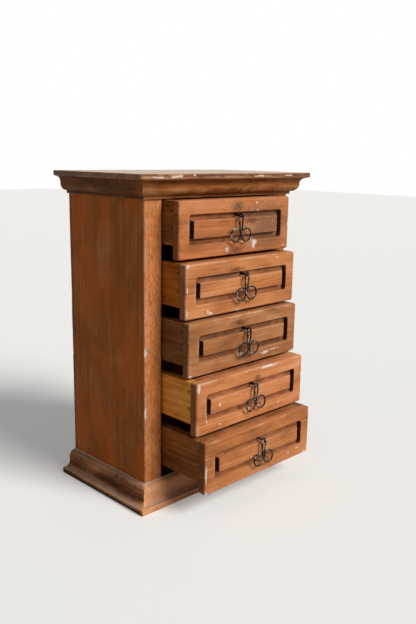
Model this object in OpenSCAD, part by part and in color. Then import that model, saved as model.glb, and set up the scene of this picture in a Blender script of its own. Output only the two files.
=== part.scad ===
// Desktop cabinet with five small drawers.
// Millimetres, +Z up. The origin is on the floor, midway between the side boards
// and midway between their front and rear edges. The drawers open towards -Y.

/* [Cabinet] */
// Overall height, floor to the top of the top board
height = 350; // [310:1:420]
// Width across the outer faces of the side boards
body_w = 219; // [190:1:300]
// Depth of the side boards, front edge to rear edge
body_d = 129; // [120:1:200]
// Thickness of the side boards
side_t = 23; // [16:0.5:28]
// Thickness of the top board
top_board_t = 5.5; // [4:0.5:10]
// Thickness of the bottom board, which lies on the ground between the sides
floor_board_t = 18; // [10:0.5:22]
// Thickness of the back panel
back_t = 5; // [3:0.5:8]
// How far the back panel laps over each side board
back_lap = 8; // [6:0.5:12]

/* [Mouldings] */
// Radius of the cornice's upper hollow
cornice_hollow_r = 6.7; // [4:0.1:8]
// Height of the flat between the cornice's hollow and its round
cornice_flat = 1.6; // [0.4:0.1:6]
// Radius of the cornice's lower round
cornice_round_r = 8; // [4:0.1:9]
// How far the cornice's narrow edge stands off the side boards
cornice_toe = 2.5; // [1:0.1:4]
// Height of that narrow edge
cornice_toe_h = 3.2; // [1:0.1:4]
// How far the top board stands past the cornice moulding
top_board_lip = 2.1; // [0.5:0.1:4]
// Height of the plinth's square foot
plinth_foot_h = 6.2; // [4:0.1:8]
// How far the square foot stands past the hollow above it
plinth_foot_lip = 2.8; // [0.5:0.1:4]
// Radius of the plinth's lower hollow
plinth_hollow_r = 6.5; // [4:0.1:7]
// Height of the flat between the plinth's hollow and its round
plinth_flat = 4.5; // [0.4:0.1:8]
// Radius of the plinth's upper round
plinth_round_r = 7.7; // [4:0.1:8]
// How far the plinth's narrow edge stands off the side boards
plinth_toe = 0.5; // [0.3:0.1:3]
// Height of that narrow edge
plinth_toe_h = 0.6; // [0.3:0.1:2]

/* [Drawer fronts] */
// Full thickness of a drawer front
front_t = 17.5; // [15:0.5:22]
// Thickness left at the front's ends, where the sides are let in behind it
front_lip_t = 9; // [8:0.5:11]
// Gap between a front and each side board
front_side_gap = 1.5; // [0.5:0.1:3]
// Gap between one front and the next
front_gap = 2.9; // [1:0.1:4]
// Gap above the highest front and below the lowest one
end_gap = 1.1; // [0.5:0.1:3]
// How much taller the top drawer's front is than the others
top_front_extra = 2.4; // [0:0.1:4]
// How far a front hangs down past the sides behind it
front_skirt = 12; // [11:0.5:16]
// Chamfer along the front's outer edges
front_chamfer = 1.2; // [0.4:0.1:2]
// Width of the frame outside the groove
groove_margin = 14; // [12:0.5:16]
// Width of the groove
groove_w = 6.35; // [5:0.05:8]
// Depth of the groove
groove_d = 5.5; // [3:0.1:6]

/* [Drawer boxes] */
// Thickness of the drawer sides
box_side_t = 10.5; // [8:0.5:12]
// How far the sides stand in from the ends of the front
box_side_inset = 0.5; // [0.1:0.1:1.5]
// Thickness of the drawer back
box_back_t = 8; // [6:0.5:12]
// How far the drawer back is lower than the sides
box_back_drop = 2; // [0:0.5:8]
// Thickness of the drawer bottom
box_floor_t = 3; // [2:0.5:4]
// Height of the drawer bottom above the lower edge of the sides
box_floor_rise = 4; // [3:0.5:6]
// How deep the drawer bottom is let into the sides and the front
box_floor_let_in = 4; // [2:0.5:5]
// Space left behind a closed drawer
rear_gap = 2; // [1:0.5:10]

/* [Runners] */
// Width of a runner strip
runner_w = 8; // [6:0.5:10]
// Height of a runner strip
runner_h = 9.5; // [6:0.5:10]
// Gap between a closed front and the runner's end
runner_end_gap = 1.5; // [0.5:0.5:5]
// Gap between a runner and the drawer side on it
slide_gap = 0.3; // [0.2:0.05:0.6]

/* [How far each drawer stands open] */
// Top drawer
open_1 = 24.5; // [0:0.5:90]
// Second drawer
open_2 = 35; // [0:0.5:90]
// Middle drawer
open_3 = 40.5; // [0:0.5:90]
// Fourth drawer
open_4 = 53; // [0:0.5:90]
// Lowest drawer
open_5 = 66.5; // [0:0.5:90]

/* [Pulls] */
// How far the eye's centre stands out from the front
eye_reach = 4.6; // [4.4:0.1:8]
// Radius of the eye, at the middle of its wire
eye_r = 2; // [1.9:0.1:3]
// Radius of the eye's wire
eye_wire_r = 0.75; // [0.5:0.05:0.8]
// How far the eye's two legs are pressed into each other
eye_leg_press = 0.05; // [0.02:0.01:0.1]
// Length of the bent leg
eye_leg_len = 7; // [4:0.5:9]
// Gap between the bent legs and the wood
eye_leg_gap = 0.1; // [0.05:0.05:0.2]
// Clearance between the eye's legs and their hole
eye_hole_gap = 0.15; // [0.1:0.05:0.2]
// Radius of the pull's wire
pull_wire_r = 0.9; // [0.6:0.05:1]
// Radius of the pull's two upper bends, at the middle of the wire
pull_bend_r = 2.5; // [1.5:0.05:2.6]
// Length of the pull's two straight legs
pull_leg_len = 17.5; // [12:0.5:19]
// Radius of the pull's rings, at the middle of the wire
pull_ring_r = 7; // [5:0.1:7.4]
// How far round each ring the wire goes, in degrees
pull_ring_turn = 311; // [270:1:312]
// How much each leg leans in towards the other, in degrees
pull_lean = 5.4; // [0:0.1:5.4]
// Gap between the pull's bar and the eye below it
pull_bar_gap = 0.2; // [0.1:0.05:0.3]
// Gap between the eye and the pull's legs on each side of it
pull_side_gap = 1.1; // [1:0.05:1.4]

/* [Pins] */
// Radius of the panel pins
pin_r = 0.8; // [0.5:0.05:1]
// Length of the panel pins
pin_len = 20; // [16:0.5:24]
// Clearance round a pin in its hole
pin_gap = 0.03; // [0.01:0.01:0.1]
// Distance of the front pins behind the lip
pin_behind_lip = 3.2; // [2:0.1:5]
// Depth of the upper pin below the top of a drawer side
pin_high = 10; // [6:0.5:14]
// Depth of the lower pin below the top of a drawer side
pin_low = 28; // [20:0.5:30]
// Distance of a runner's pins from its ends
runner_pin_inset = 18; // [8:1:30]
// Distance of the back panel's end pins from its corners
back_pin_inset = 30; // [25:1:60]
// Distance of the drawer bottom's pins from its middle
floor_pin_offset = 40; // [20:1:50]

/* [Hidden] */
$fn = 48;
// Overshoot of a cutter past the face it cuts
eps = 1;
levels = [1:5];
level_count = 5;
opens = [open_1, open_2, open_3, open_4, open_5];
DRAWER_PIECES = ["front", "side_left", "side_right", "back", "bottom", "pins"];
CARCASS_NODES = ["top_board", "cornice_front", "cornice_left", "cornice_right",
    "side_left", "side_right", "carcass_top", "carcass_bottom", "back_panel",
    "plinth_front", "plinth_left", "plinth_right", "back_pins", "runner_pins"];

// Faces of the carcass
face_y = -body_d / 2;
rear_y = body_d / 2;
side_x = body_w / 2;
opening_x = side_x - side_t;
under_top_z = height - top_board_t;
cornice_h = cornice_toe_h + cornice_round_r + cornice_flat + cornice_hollow_r;
plinth_h = plinth_foot_h + plinth_hollow_r + plinth_flat + plinth_round_r + plinth_toe_h;
opening_top_z = under_top_z - cornice_h;
opening_h = opening_top_z - plinth_h;
back_y = rear_y - back_t;
// Reach of the mouldings and boards past the side boards
cornice_reach = cornice_toe + cornice_round_r + cornice_hollow_r;
top_board_reach = cornice_reach + top_board_lip;
plinth_reach = plinth_toe + plinth_round_r + plinth_hollow_r + plinth_foot_lip;

// Sizes of the drawers
front_w = 2 * (opening_x - front_side_gap);
front_h = (opening_h - 2 * end_gap - (level_count - 1) * front_gap - top_front_extra)
    / level_count;
box_side_h = front_h - front_skirt;
box_x = front_w / 2 - box_side_inset;
inner_x = box_x - box_side_t;
box_rear_closed = back_y - rear_gap;
box_len = box_rear_closed - face_y;
floor_x = inner_x + box_floor_let_in;
front_pin_y = front_lip_t + pin_behind_lip;
back_pin_y = box_len - box_back_t / 2;
// Runner strips, in the carcass's frame
runner_y = face_y + front_t + runner_end_gap;
runner_len = back_y - runner_y;
runner_pin_z = -slide_gap - runner_h / 2;

// The eye and the pull, measured from the front's outer face
eye_z = -groove_margin - groove_w / 2;
eye_leg_z = eye_wire_r - eye_leg_press;
eye_bend_r = eye_wire_r + eye_leg_gap;
eye_hole_r = eye_leg_z + eye_wire_r + eye_hole_gap;
pivot_below_eye = eye_r - eye_wire_r - pull_wire_r - pull_bar_gap;
pull_leg_x = eye_wire_r + pull_side_gap + pull_wire_r;
pull_bar = pull_leg_x - pull_bend_r;

function front_top(n) = opening_top_z - end_gap
    - (n > 1 ? top_front_extra : 0) - (n - 1) * (front_h + front_gap);
function front_height(n) = front_h + (n == 1 ? top_front_extra : 0);
function box_bottom(n) = front_top(n) - box_side_h;

// ---- Mouldings ----

// Section of a moulding: x is the reach from the board, y is the height above
// the narrow edge. A narrow edge, a round, a flat and a hollow follow in turn.
module cyma(h, toe, toe_h, round_r, hollow_r) {
    square([toe, h]);
    translate([toe, toe_h + round_r]) {
        intersection() {
            circle(r = round_r);
            translate([0, -round_r]) square(round_r);
        }
        square([round_r, h - toe_h - round_r]);
    }
    translate([toe + round_r, h - hollow_r]) difference() {
        square(hollow_r);
        translate([hollow_r, 0]) circle(r = hollow_r);
    }
}

module cornice_section() {
    cyma(cornice_h, cornice_toe, cornice_toe_h, cornice_round_r, cornice_hollow_r);
}

module plinth_section() {
    translate([0, plinth_h]) mirror([0, 1])
        cyma(plinth_h - plinth_foot_h, plinth_toe, plinth_toe_h,
            plinth_round_r, plinth_hollow_r);
    square([plinth_reach, plinth_foot_h]);
}

// Extrudes a section along the front of the body, mitred at both ends
module front_moulding(reach, h) {
    half = side_x + reach;
    difference() {
        translate([-half, face_y, 0]) rotate([90, 0, 90])
            mirror([1, 0]) linear_extrude(2 * half) children();
        for (side = [-1, 1]) translate([side * side_x, face_y, -eps])
            rotate(side > 0 ? 45 : 135) translate([0, -2 * reach, 0])
                cube([2 * reach, 4 * reach, h + 2 * eps]);
    }
}

// Extrudes a section along the left side of the body, mitred at its front end
module side_moulding(reach, h) {
    difference() {
        translate([-side_x, rear_y, 0]) rotate([90, 0, 0])
            mirror([1, 0]) linear_extrude(body_d + reach) children();
        translate([-side_x, face_y, -eps]) rotate(-45) translate([0, -2 * reach, 0])
            cube([2 * reach, 4 * reach, h + 2 * eps]);
    }
}

module cornice_front() {
    color("saddlebrown") translate([0, 0, opening_top_z])
        front_moulding(cornice_reach, cornice_h) cornice_section();
}

module cornice_side() {
    color("saddlebrown") translate([0, 0, opening_top_z])
        side_moulding(cornice_reach, cornice_h) cornice_section();
}

module plinth_front() {
    color("saddlebrown") front_moulding(plinth_reach, plinth_h) plinth_section();
}

module plinth_side() {
    color("saddlebrown") side_moulding(plinth_reach, plinth_h) plinth_section();
}

// ---- Carcass ----

// A pin along +Z with its head's face at z = 0 and its point below
module pin(gap = 0) {
    translate([0, 0, -pin_len - gap]) cylinder(r = pin_r + gap, h = pin_len + gap);
}

// A pin's hole, open at the face
module pin_hole() {
    pin(pin_gap);
    cylinder(r = pin_r + pin_gap, h = eps);
}

module back_pin_places() {
    across = opening_x + back_lap / 2;
    up = [back_pin_inset, under_top_z / 2, under_top_z - back_pin_inset];
    for (x = [-across, across]) for (z = up)
        translate([x, rear_y, z]) rotate([-90, 0, 0]) children();
    for (x = [-1, 0, 1] * (opening_x - back_pin_inset))
        for (z = [floor_board_t / 2, opening_top_z + cornice_h / 2])
            translate([x, rear_y, z]) rotate([-90, 0, 0]) children();
}

module runner_pin_places(n) {
    for (side = [-1, 1])
        for (y = [runner_y + runner_pin_inset, runner_y + runner_len - runner_pin_inset])
            translate([side * (opening_x - runner_w), y, box_bottom(n) + runner_pin_z])
                rotate([0, -side * 90, 0]) children();
}

module top_board() {
    color("wheat")
        translate([-side_x - top_board_reach, face_y - top_board_reach, under_top_z])
            cube([2 * (side_x + top_board_reach), body_d + top_board_reach, top_board_t]);
}

module side_board() {
    color("sienna") difference() {
        translate([-side_x, face_y, 0]) cube([side_t, body_d, under_top_z]);
        translate([-opening_x - back_lap, back_y, -eps])
            cube([back_lap + eps, back_t + eps, under_top_z + 2 * eps]);
        back_pin_places() pin_hole();
        for (n = levels) runner_pin_places(n) pin_hole();
    }
}

module carcass_top() {
    color("peru") difference() {
        translate([-opening_x, face_y, opening_top_z])
            cube([2 * opening_x, back_y - face_y, cornice_h]);
        back_pin_places() pin_hole();
    }
}

module carcass_bottom() {
    color("peru") difference() {
        translate([-opening_x, face_y, 0])
            cube([2 * opening_x, back_y - face_y, floor_board_t]);
        back_pin_places() pin_hole();
    }
}

module back_panel() {
    color("tan") difference() {
        translate([-opening_x - back_lap, back_y, 0])
            cube([2 * (opening_x + back_lap), back_t, under_top_z]);
        back_pin_places() pin_hole();
    }
}

module back_pins() {
    color("dimgray") back_pin_places() pin();
}

module runners(n) {
    color("burlywood") difference() {
        for (side = [0, 1]) mirror([side, 0, 0])
            translate([opening_x - runner_w, runner_y, box_bottom(n) - slide_gap - runner_h])
                cube([runner_w, runner_len, runner_h]);
        runner_pin_places(n) pin_hole();
    }
}

module runner_pins() {
    color("dimgray") for (n = levels) runner_pin_places(n) pin();
}

// ---- Drawers ----
// Each piece is drawn with the front's outer face at y = 0 and the front's top at
// z = 0, and in_place puts it where its drawer stands.

module in_place(n) {
    translate([0, face_y - opens[n - 1], front_top(n)]) children();
}

module side_pin_places(sides = [-1, 1]) {
    for (side = sides) for (y = [front_pin_y, back_pin_y]) for (z = [pin_high, pin_low])
        translate([side * box_x, y, -z]) rotate([0, side * 90, 0]) children();
}

module floor_pin_places() {
    for (x = [-floor_pin_offset, floor_pin_offset])
        translate([x, back_pin_y, -box_side_h + box_floor_rise])
            rotate([180, 0, 0]) children();
}

// The drawer bottom, also used to cut its grooves
module floor_panel(length) {
    translate([-floor_x, front_t - box_floor_let_in, -box_side_h + box_floor_rise])
        cube([2 * floor_x, length, box_floor_t]);
}

// Board with its four outer edges chamfered
module chamfered_board(w, h) {
    c = front_chamfer;
    intersection() {
        translate([-w / 2, 0, -h]) rotate([90, 0, 90]) linear_extrude(w)
            polygon([[c, 0], [front_t, 0], [front_t, h], [c, h], [0, h - c], [0, c]]);
        translate([0, 0, -h]) linear_extrude(h)
            polygon([[-w / 2, front_t], [-w / 2, c], [c - w / 2, 0],
                [w / 2 - c, 0], [w / 2, c], [w / 2, front_t]]);
    }
}

// Groove round the raised panel, with round outer corners
module groove(w, h) {
    r = groove_w / 2;
    corner_x = w / 2 - groove_margin - r;
    low_z = groove_margin + r - h;
    high_z = -groove_margin - r;
    for (z = [low_z, high_z]) {
        for (x = [-corner_x, corner_x]) translate([x, groove_d, z])
            rotate([90, 0, 0]) cylinder(r = r, h = groove_d + eps);
        translate([-corner_x, -eps, z - r])
            cube([2 * corner_x, groove_d + eps, groove_w]);
    }
    for (x = [-corner_x, corner_x]) translate([x - r, -eps, low_z])
        cube([groove_w, groove_d + eps, high_z - low_z]);
}

module drawer_front(n) {
    h = front_height(n);
    color("peru") in_place(n) difference() {
        chamfered_board(front_w, h);
        groove(front_w, h);
        for (side = [0, 1]) mirror([side, 0, 0])
            translate([inner_x, front_lip_t, -h - eps])
                cube([front_w, front_t, h + 2 * eps]);
        floor_panel(box_floor_let_in + eps);
        translate([0, -eps, eye_z]) rotate([-90, 0, 0])
            cylinder(r = eye_hole_r, h = front_t + 2 * eps);
        side_pin_places() pin_hole();
    }
}

module drawer_side(n, side) {
    color("goldenrod") in_place(n) difference() {
        translate([side > 0 ? inner_x : -box_x, front_lip_t, -box_side_h])
            cube([box_side_t, box_len - front_lip_t, box_side_h]);
        floor_panel(box_len);
        side_pin_places([side]) pin_hole();
    }
}

module drawer_back(n) {
    z = box_floor_rise + box_floor_t;
    color("goldenrod") in_place(n) difference() {
        translate([-inner_x, box_len - box_back_t, z - box_side_h])
            cube([2 * inner_x, box_back_t, box_side_h - z - box_back_drop]);
        side_pin_places() pin_hole();
        floor_pin_places() pin_hole();
    }
}

module drawer_bottom(n) {
    color("khaki") in_place(n) difference() {
        floor_panel(box_len - front_t + box_floor_let_in);
        floor_pin_places() pin_hole();
    }
}

module drawer_pins(n) {
    color("dimgray") in_place(n) {
        side_pin_places() pin();
        floor_pin_places() pin();
    }
}

// ---- Eyes and pulls ----

// Wire bent round the X axis, from one angle on through a sweep, in the YZ plane
module bend(r, wire, from, sweep) {
    rotate([0, 90, 0]) rotate(from) rotate_extrude(angle = sweep)
        translate([r, 0]) circle(r = wire);
}

module pull_eye(n) {
    // The bend's middle lies in the plane of the front's inner face
    straight = front_t + eye_reach - eye_r;
    color("black") in_place(n) translate([0, -eye_reach, eye_z]) {
        bend(eye_r, eye_wire_r, 0, 360);
        for (side = [0, 1]) mirror([0, 0, side]) {
            translate([0, eye_r, eye_leg_z]) rotate([-90, 0, 0])
                cylinder(r = eye_wire_r, h = straight);
            translate([0, eye_r + straight, eye_leg_z + eye_bend_r])
                bend(eye_bend_r, eye_wire_r, 0, 90);
            translate([0, eye_r + straight + eye_bend_r, eye_leg_z + eye_bend_r])
                cylinder(r = eye_wire_r, h = eye_leg_len);
        }
    }
}

// Half of the pull below its bar, which lies along X through the origin. In a
// frame that leans in, the wire turns down, runs straight and goes round the ring.
module half_pull() {
    translate([pull_bar, 0, -pull_bend_r]) rotate([0, pull_lean, 0]) {
        rotate([90, 0, 0]) rotate_extrude(angle = 90 + pull_lean)
            translate([pull_bend_r, 0]) circle(r = pull_wire_r);
        translate([pull_bend_r, 0, -pull_leg_len])
            cylinder(r = pull_wire_r, h = pull_leg_len);
        translate([pull_bend_r + pull_ring_r, 0, -pull_leg_len]) rotate([90, 0, 0])
            rotate(180) rotate_extrude(angle = pull_ring_turn)
                translate([pull_ring_r, 0]) circle(r = pull_wire_r);
    }
}

module ring_pull(n) {
    color("black") in_place(n)
        translate([0, -eye_reach, eye_z - pivot_below_eye]) {
            translate([-pull_bar, 0, 0]) rotate([0, 90, 0])
                cylinder(r = pull_wire_r, h = 2 * pull_bar);
            half_pull();
            mirror([1, 0, 0]) half_pull();
        }
}

top_board();
cornice_front();
cornice_side();  // cornice_left
mirror([1, 0, 0]) cornice_side();  // cornice_right
side_board();  // side_left
mirror([1, 0, 0]) side_board();  // side_right
carcass_top();
carcass_bottom();
back_panel();
plinth_front();
plinth_side();  // plinth_left
mirror([1, 0, 0]) plinth_side();  // plinth_right
back_pins();
runner_pins();
for (n = levels) {
    runners(n);
    drawer_front(n);
    drawer_side(n, -1);
    drawer_side(n, 1);
    drawer_back(n);
    drawer_bottom(n);
    drawer_pins(n);
    pull_eye(n);
    ring_pull(n);
}
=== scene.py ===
"""Desktop cabinet with five small drawers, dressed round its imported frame.

Everything is in metres on the frame's own axes: X runs to the right across the front, Y to
the back and Z up from the ground. The drawers slide towards -Y. Sizes are written in
millimetres times MM.
"""

from __future__ import annotations

import logging
import math
from dataclasses import dataclass, field
from enum import Enum

import bmesh
import bpy
import numpy as np
from mathutils import Matrix, Vector


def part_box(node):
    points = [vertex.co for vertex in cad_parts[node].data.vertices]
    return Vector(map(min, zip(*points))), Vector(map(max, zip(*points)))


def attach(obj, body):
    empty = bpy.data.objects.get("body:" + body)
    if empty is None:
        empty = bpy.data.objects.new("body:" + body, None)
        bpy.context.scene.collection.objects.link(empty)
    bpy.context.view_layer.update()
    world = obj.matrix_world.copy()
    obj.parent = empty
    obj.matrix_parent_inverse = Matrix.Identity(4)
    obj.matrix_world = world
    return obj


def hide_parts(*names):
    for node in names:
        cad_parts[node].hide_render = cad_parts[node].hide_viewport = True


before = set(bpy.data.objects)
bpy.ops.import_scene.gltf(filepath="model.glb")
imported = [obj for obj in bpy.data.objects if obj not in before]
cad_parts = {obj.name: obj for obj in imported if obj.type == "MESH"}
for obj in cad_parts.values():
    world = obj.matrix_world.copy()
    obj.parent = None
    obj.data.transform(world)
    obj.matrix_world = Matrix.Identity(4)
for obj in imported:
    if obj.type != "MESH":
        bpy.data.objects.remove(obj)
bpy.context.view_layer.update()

Array = np.ndarray
Triple = tuple[float, float, float]
Colour = Triple
Socket = bpy.types.NodeSocket

MM = 0.001
DRAWERS = range(1, 6)
"""The drawers' numbers, from the top down."""
TINY = 1e-9
"""What is smaller than this counts as nothing."""
SAME_PLACE = 2e-6
"""Points closer together than this become one."""
NO_LENGTH = 1e-6
"""Edges shorter than this are dropped."""
SMOOTH_BELOW = math.radians(42.0)
"""Faces that meet at less than this angle are shaded as one curve."""
BEVEL_ABOVE = math.radians(50.0)
"""Edges turned by more than this angle get the last small bevel."""
log = logging.getLogger("cabinet")


# ---- Surfaces as arrays ----


class Along(Enum):
    """The axis that a board's grain follows, as the order (across, up, along) of X, Y, Z."""

    X = (1, 2, 0)
    Y = (2, 0, 1)
    Z = (0, 1, 2)

    def axes(self) -> Array:
        """Rows are the directions of the section's u and v and of the grain."""
        return np.eye(3)[list(self.value)]


@dataclass
class Skin:
    """A surface before it is a mesh.

    points is (N, 3), faces lists rows of indices, grain is (N, 3) with the place in the
    board along, across and through its grain, wear and the darkening of hollows are (N,)
    from 0 to 1, the darkening being soiling with painted shade, and tone is (N,), above 0
    where the wood is paler than the rest and below 0 where darker.
    """

    points: Array
    faces: list[list[int]]
    grain: Array
    wear: Array
    grime_and_shade: Array
    tone: Array | None = None

    def __post_init__(self) -> None:
        """Leaves the tone even where none is given."""
        if self.tone is None:
            self.tone = np.zeros(len(self.points))


LATTICE = 997
"""Random values in one curve of wander, after which it repeats."""
NICK_FROM = 0.62
"""Height of the curve above which a crest shows as a nick."""


def wander(places: Array, pace: float, seed: int) -> Array:
    """Smooth random curve between -1 and 1.

    A random value stands at every whole pace, and between two of them the curve eases
    from one to the next as 3t^2 - 2t^3.

    Args:
        places: Where the curve is read.
        pace: Distance from one random value to the next.
        seed: Chooses the curve.

    Returns:
        The curve's values, in the shape of places.
    """
    lattice = np.random.default_rng(seed).uniform(-1.0, 1.0, LATTICE)
    steps = places / pace
    cell = np.floor(steps).astype(int)
    t = steps - cell
    ease = t * t * (3.0 - 2.0 * t)
    return lattice[cell % LATTICE] * (1.0 - ease) + lattice[(cell + 1) % LATTICE] * ease


def nicks(places: Array, pace: float, seed: int) -> Array:
    """Small dents along an arris, from 0 to 1: only the highest crests of wander show."""
    return np.clip((wander(places, pace, seed) - NICK_FROM) / (1.0 - NICK_FROM), 0.0, 1.0)


def arc(centre: tuple[float, float], radius: float, start: float, end: float, count: int) -> Array:
    """Points on a circle: centre + radius (cos a, sin a), with a in degrees from start to end."""
    turn = np.radians(np.linspace(start, end, count))
    return np.array(centre) + radius * np.stack([np.cos(turn), np.sin(turn)], axis=-1)


WORN_RADIUS = 0.2 * MM
"""Outward arcs with a larger radius than this show wear."""
WORN_EASE = 0.2
"""Angle by which the wear over an arc, a half sine wave, starts late and ends early."""
MOST_INSET = 0.33
"""Largest share of a straight run that its outer points stand away from its ends."""
RUN_POINTS = 3
"""Points on each straight run of a rounded outline."""


def fillet(corners: Array, radii: Array, steps: int, margin: float) -> tuple[Array, Array]:
    """Rounds the corners of closed outlines that run anticlockwise.

    At a corner V the outline arrives along d1 and leaves along d2, turned by angle T. The
    arc starts at V - d1 r tan(T/2) and follows r (d1 sin a + n (1 - cos a)) for a from 0
    to T, with n the side that it turns to. Three points stand on each straight run, the
    outer two a margin away from the arcs.

    Args:
        corners: Corners of K outlines, (K, C, 2).
        radii: Radius at every corner, (K, C).
        steps: Straight steps in each arc.
        margin: Distance of a run's outer points from its ends.

    Returns:
        The outlines, (K, J, 2), and the wear on each of their points, (J,), which is half
        a sine wave over every outward arc and 0 elsewhere.
    """
    arrive = corners - np.roll(corners, 1, axis=1)
    leave = np.roll(corners, -1, axis=1) - corners
    d1 = arrive / np.linalg.norm(arrive, axis=-1, keepdims=True)
    d2 = leave / np.linalg.norm(leave, axis=-1, keepdims=True)
    cross = d1[..., 0] * d2[..., 1] - d1[..., 1] * d2[..., 0]
    turn = np.arctan2(cross, (d1 * d2).sum(-1))
    side = np.sign(turn)[..., None] * np.stack([-d1[..., 1], d1[..., 0]], axis=-1)
    reach = (radii * np.tan(np.abs(turn) / 2.0))[..., None]
    angle = np.abs(turn)[..., None] * np.linspace(0.0, 1.0, steps + 1)
    sweep = (
        d1[:, :, None, :] * np.sin(angle)[..., None]
        + side[:, :, None, :] * (1.0 - np.cos(angle))[..., None]
    )
    bends = (corners - d1 * reach)[:, :, None, :] + radii[..., None, None] * sweep
    first = bends[:, :, -1]
    gap = np.roll(bends[:, :, 0], -1, axis=1) - first
    length = np.maximum(np.linalg.norm(gap, axis=-1), TINY)
    inset = np.minimum(margin / length, MOST_INSET)
    share = np.stack([inset, np.full_like(inset, 0.5), 1.0 - inset], axis=-1)
    runs = first[:, :, None, :] + gap[:, :, None, :] * share[..., None]
    loops = np.concatenate([bends, runs], axis=2)
    outward = (turn[0] > 0.0) & (radii[0] > WORN_RADIUS)
    wave = np.sin(np.linspace(WORN_EASE, math.pi - WORN_EASE, steps + 1))
    crest = np.zeros((corners.shape[1], steps + 1 + RUN_POINTS))
    crest[:, : steps + 1] = outward[:, None] * wave
    return loops.reshape(len(corners), -1, 2), crest.ravel()


def ring_faces(rings: int, count: int, base: int = 0) -> list[list[int]]:
    """Four-sided faces between closed rings of points.

    Point j of ring i has the number base + i count + j.

    Args:
        rings: Number of rings.
        count: Points in each ring.
        base: Number of the first point.

    Returns:
        The four point numbers of every face.
    """
    start = base + np.arange(rings - 1)[:, None] * count
    here = np.arange(count)[None, :]
    ahead = (here + 1) % count
    quads = np.stack(
        [start + here, start + ahead, start + count + ahead, start + count + here], axis=-1
    )
    return quads.reshape(-1, 4).tolist()


END_RINGS = 5
"""Rings over the rounding of a timber's end."""
FIGURE_SHIFT = np.array([0.31, 0.17, 0.11])
"""How far the figure of a timber is moved for each step of its seed."""


@dataclass
class Timber:
    """A length of worn timber: one section carried along its grain.

    A point of the section (u, v) runs straight from the start plane to the end plane, and
    each plane may be cut at a mitre: place = origin + u U + v V + (w + mitre u) W. The
    arrises keep changing their radius slightly on the way, with a nick here and there.
    """

    corners: Array
    radii: Array
    start: float
    end: float
    axes: Array
    origin: Array = field(default_factory=lambda: np.zeros(3))
    start_mitre: float = 0.0
    end_mitre: float = 0.0
    end_arris: float = 0.0
    pace: float = 4.0 * MM
    steps: int = 4
    margin: float = 2.5 * MM
    rough: float = 0.3
    seed: int = 1

    def skin(self) -> Skin:
        """Works out the surface.

        The rounded ends are rings whose section draws in by e (1 - sin a) while the ring
        advances by e (1 - cos a), with a from 0 to 90 degrees.

        Returns:
            The closed surface with its grain, wear, and darkening of hollows by soiling and painted
            shade.
        """
        turn = np.linspace(0.0, math.pi / 2.0, END_RINGS)
        e = self.end_arris
        middle = max(3, int((self.end - self.start - 2.0 * e) / self.pace))
        body = np.linspace(self.start + e, self.end - e, middle)
        if e > 0.0:
            advance = e * (1.0 - np.cos(turn[:-1]))
            w = np.concatenate([self.start + advance, body, self.end - advance[::-1]])
            drawn = e * (1.0 - np.sin(turn[:-1]))
            inset = np.concatenate([drawn, np.zeros(middle), drawn[::-1]])
        else:
            w, inset = body, np.zeros(middle)
        share = (w - self.start) / (self.end - self.start)
        corners, radii = self._drawn_in(inset)
        radii = radii * (1.0 + self._unevenness(w))
        loops, crest = fillet(corners, radii, self.steps, self.margin)
        u, v = loops[..., 0], loops[..., 1]
        slant = self.start_mitre * (1.0 - share) + self.end_mitre * share
        run = w[:, None] + slant[:, None] * u
        points = (
            self.origin
            + u[..., None] * self.axes[0]
            + v[..., None] * self.axes[1]
            + run[..., None] * self.axes[2]
        )
        rings, count = loops.shape[:2]
        faces = ring_faces(rings, count)
        faces.append(list(range(count))[::-1])
        faces.append(list(range((rings - 1) * count, rings * count)))
        grain = np.stack([run, u, v], axis=-1).reshape(-1, 3) + FIGURE_SHIFT * self.seed
        drawn_share = np.clip(inset / max(e, TINY), 0.0, 1.0)[:, None]
        on_end = np.sin(math.pi * np.clip(drawn_share, 0.05, 0.95)) * (drawn_share > 0.0)
        rubbed = np.maximum(crest[None, :], on_end)
        rubbed = rubbed * (0.75 + 0.25 * wander(w, 9.0 * MM, self.seed + 40)[:, None])
        return Skin(
            points.reshape(-1, 3), faces, grain, rubbed.ravel(), np.zeros(rings * count)
        )

    def _drawn_in(self, inset: Array) -> tuple[Array, Array]:
        """Moves every edge of the section inwards.

        A corner moves along the sum of its two edges' inward normals over 1 + their dot
        product. Outward corners lose the inset from their radius, and inward ones gain it.

        Args:
            inset: How far the edges move at each ring, (K,).

        Returns:
            Corners (K, C, 2) and radii (K, C).
        """
        arrive = self.corners - np.roll(self.corners, 1, axis=0)
        d1 = arrive / np.linalg.norm(arrive, axis=-1, keepdims=True)
        d2 = np.roll(d1, -1, axis=0)
        n1 = np.stack([-d1[:, 1], d1[:, 0]], axis=-1)
        n2 = np.stack([-d2[:, 1], d2[:, 0]], axis=-1)
        shift = (n1 + n2) / (1.0 + (n1 * n2).sum(-1, keepdims=True))
        outward = (d1[:, 0] * d2[:, 1] - d1[:, 1] * d2[:, 0]) > 0.0
        corners = self.corners[None] + inset[:, None, None] * shift[None]
        change = np.where(outward, -1.0, 1.0)[None, :] * inset[:, None]
        floor = np.minimum(self.radii, 0.05 * MM)[None, :]
        return corners, np.maximum(self.radii[None, :] + change, floor)

    def _unevenness(self, w: Array) -> Array:
        """How the radius of each arris varies along the timber.

        Args:
            w: Places of the rings along the grain, (K,).

        Returns:
            Shares by which the radii depart from their own size, (K, C).
        """
        count = len(self.corners)
        slow = [wander(w, 17.0 * MM, self.seed * 31 + i) for i in range(count)]
        dents = [nicks(w, 6.0 * MM, self.seed * 57 + i) for i in range(count)]
        dented = 0.8 if self.rough else 0.0
        return self.rough * np.stack(slow, axis=-1) + dented * np.stack(dents, axis=-1)


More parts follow.
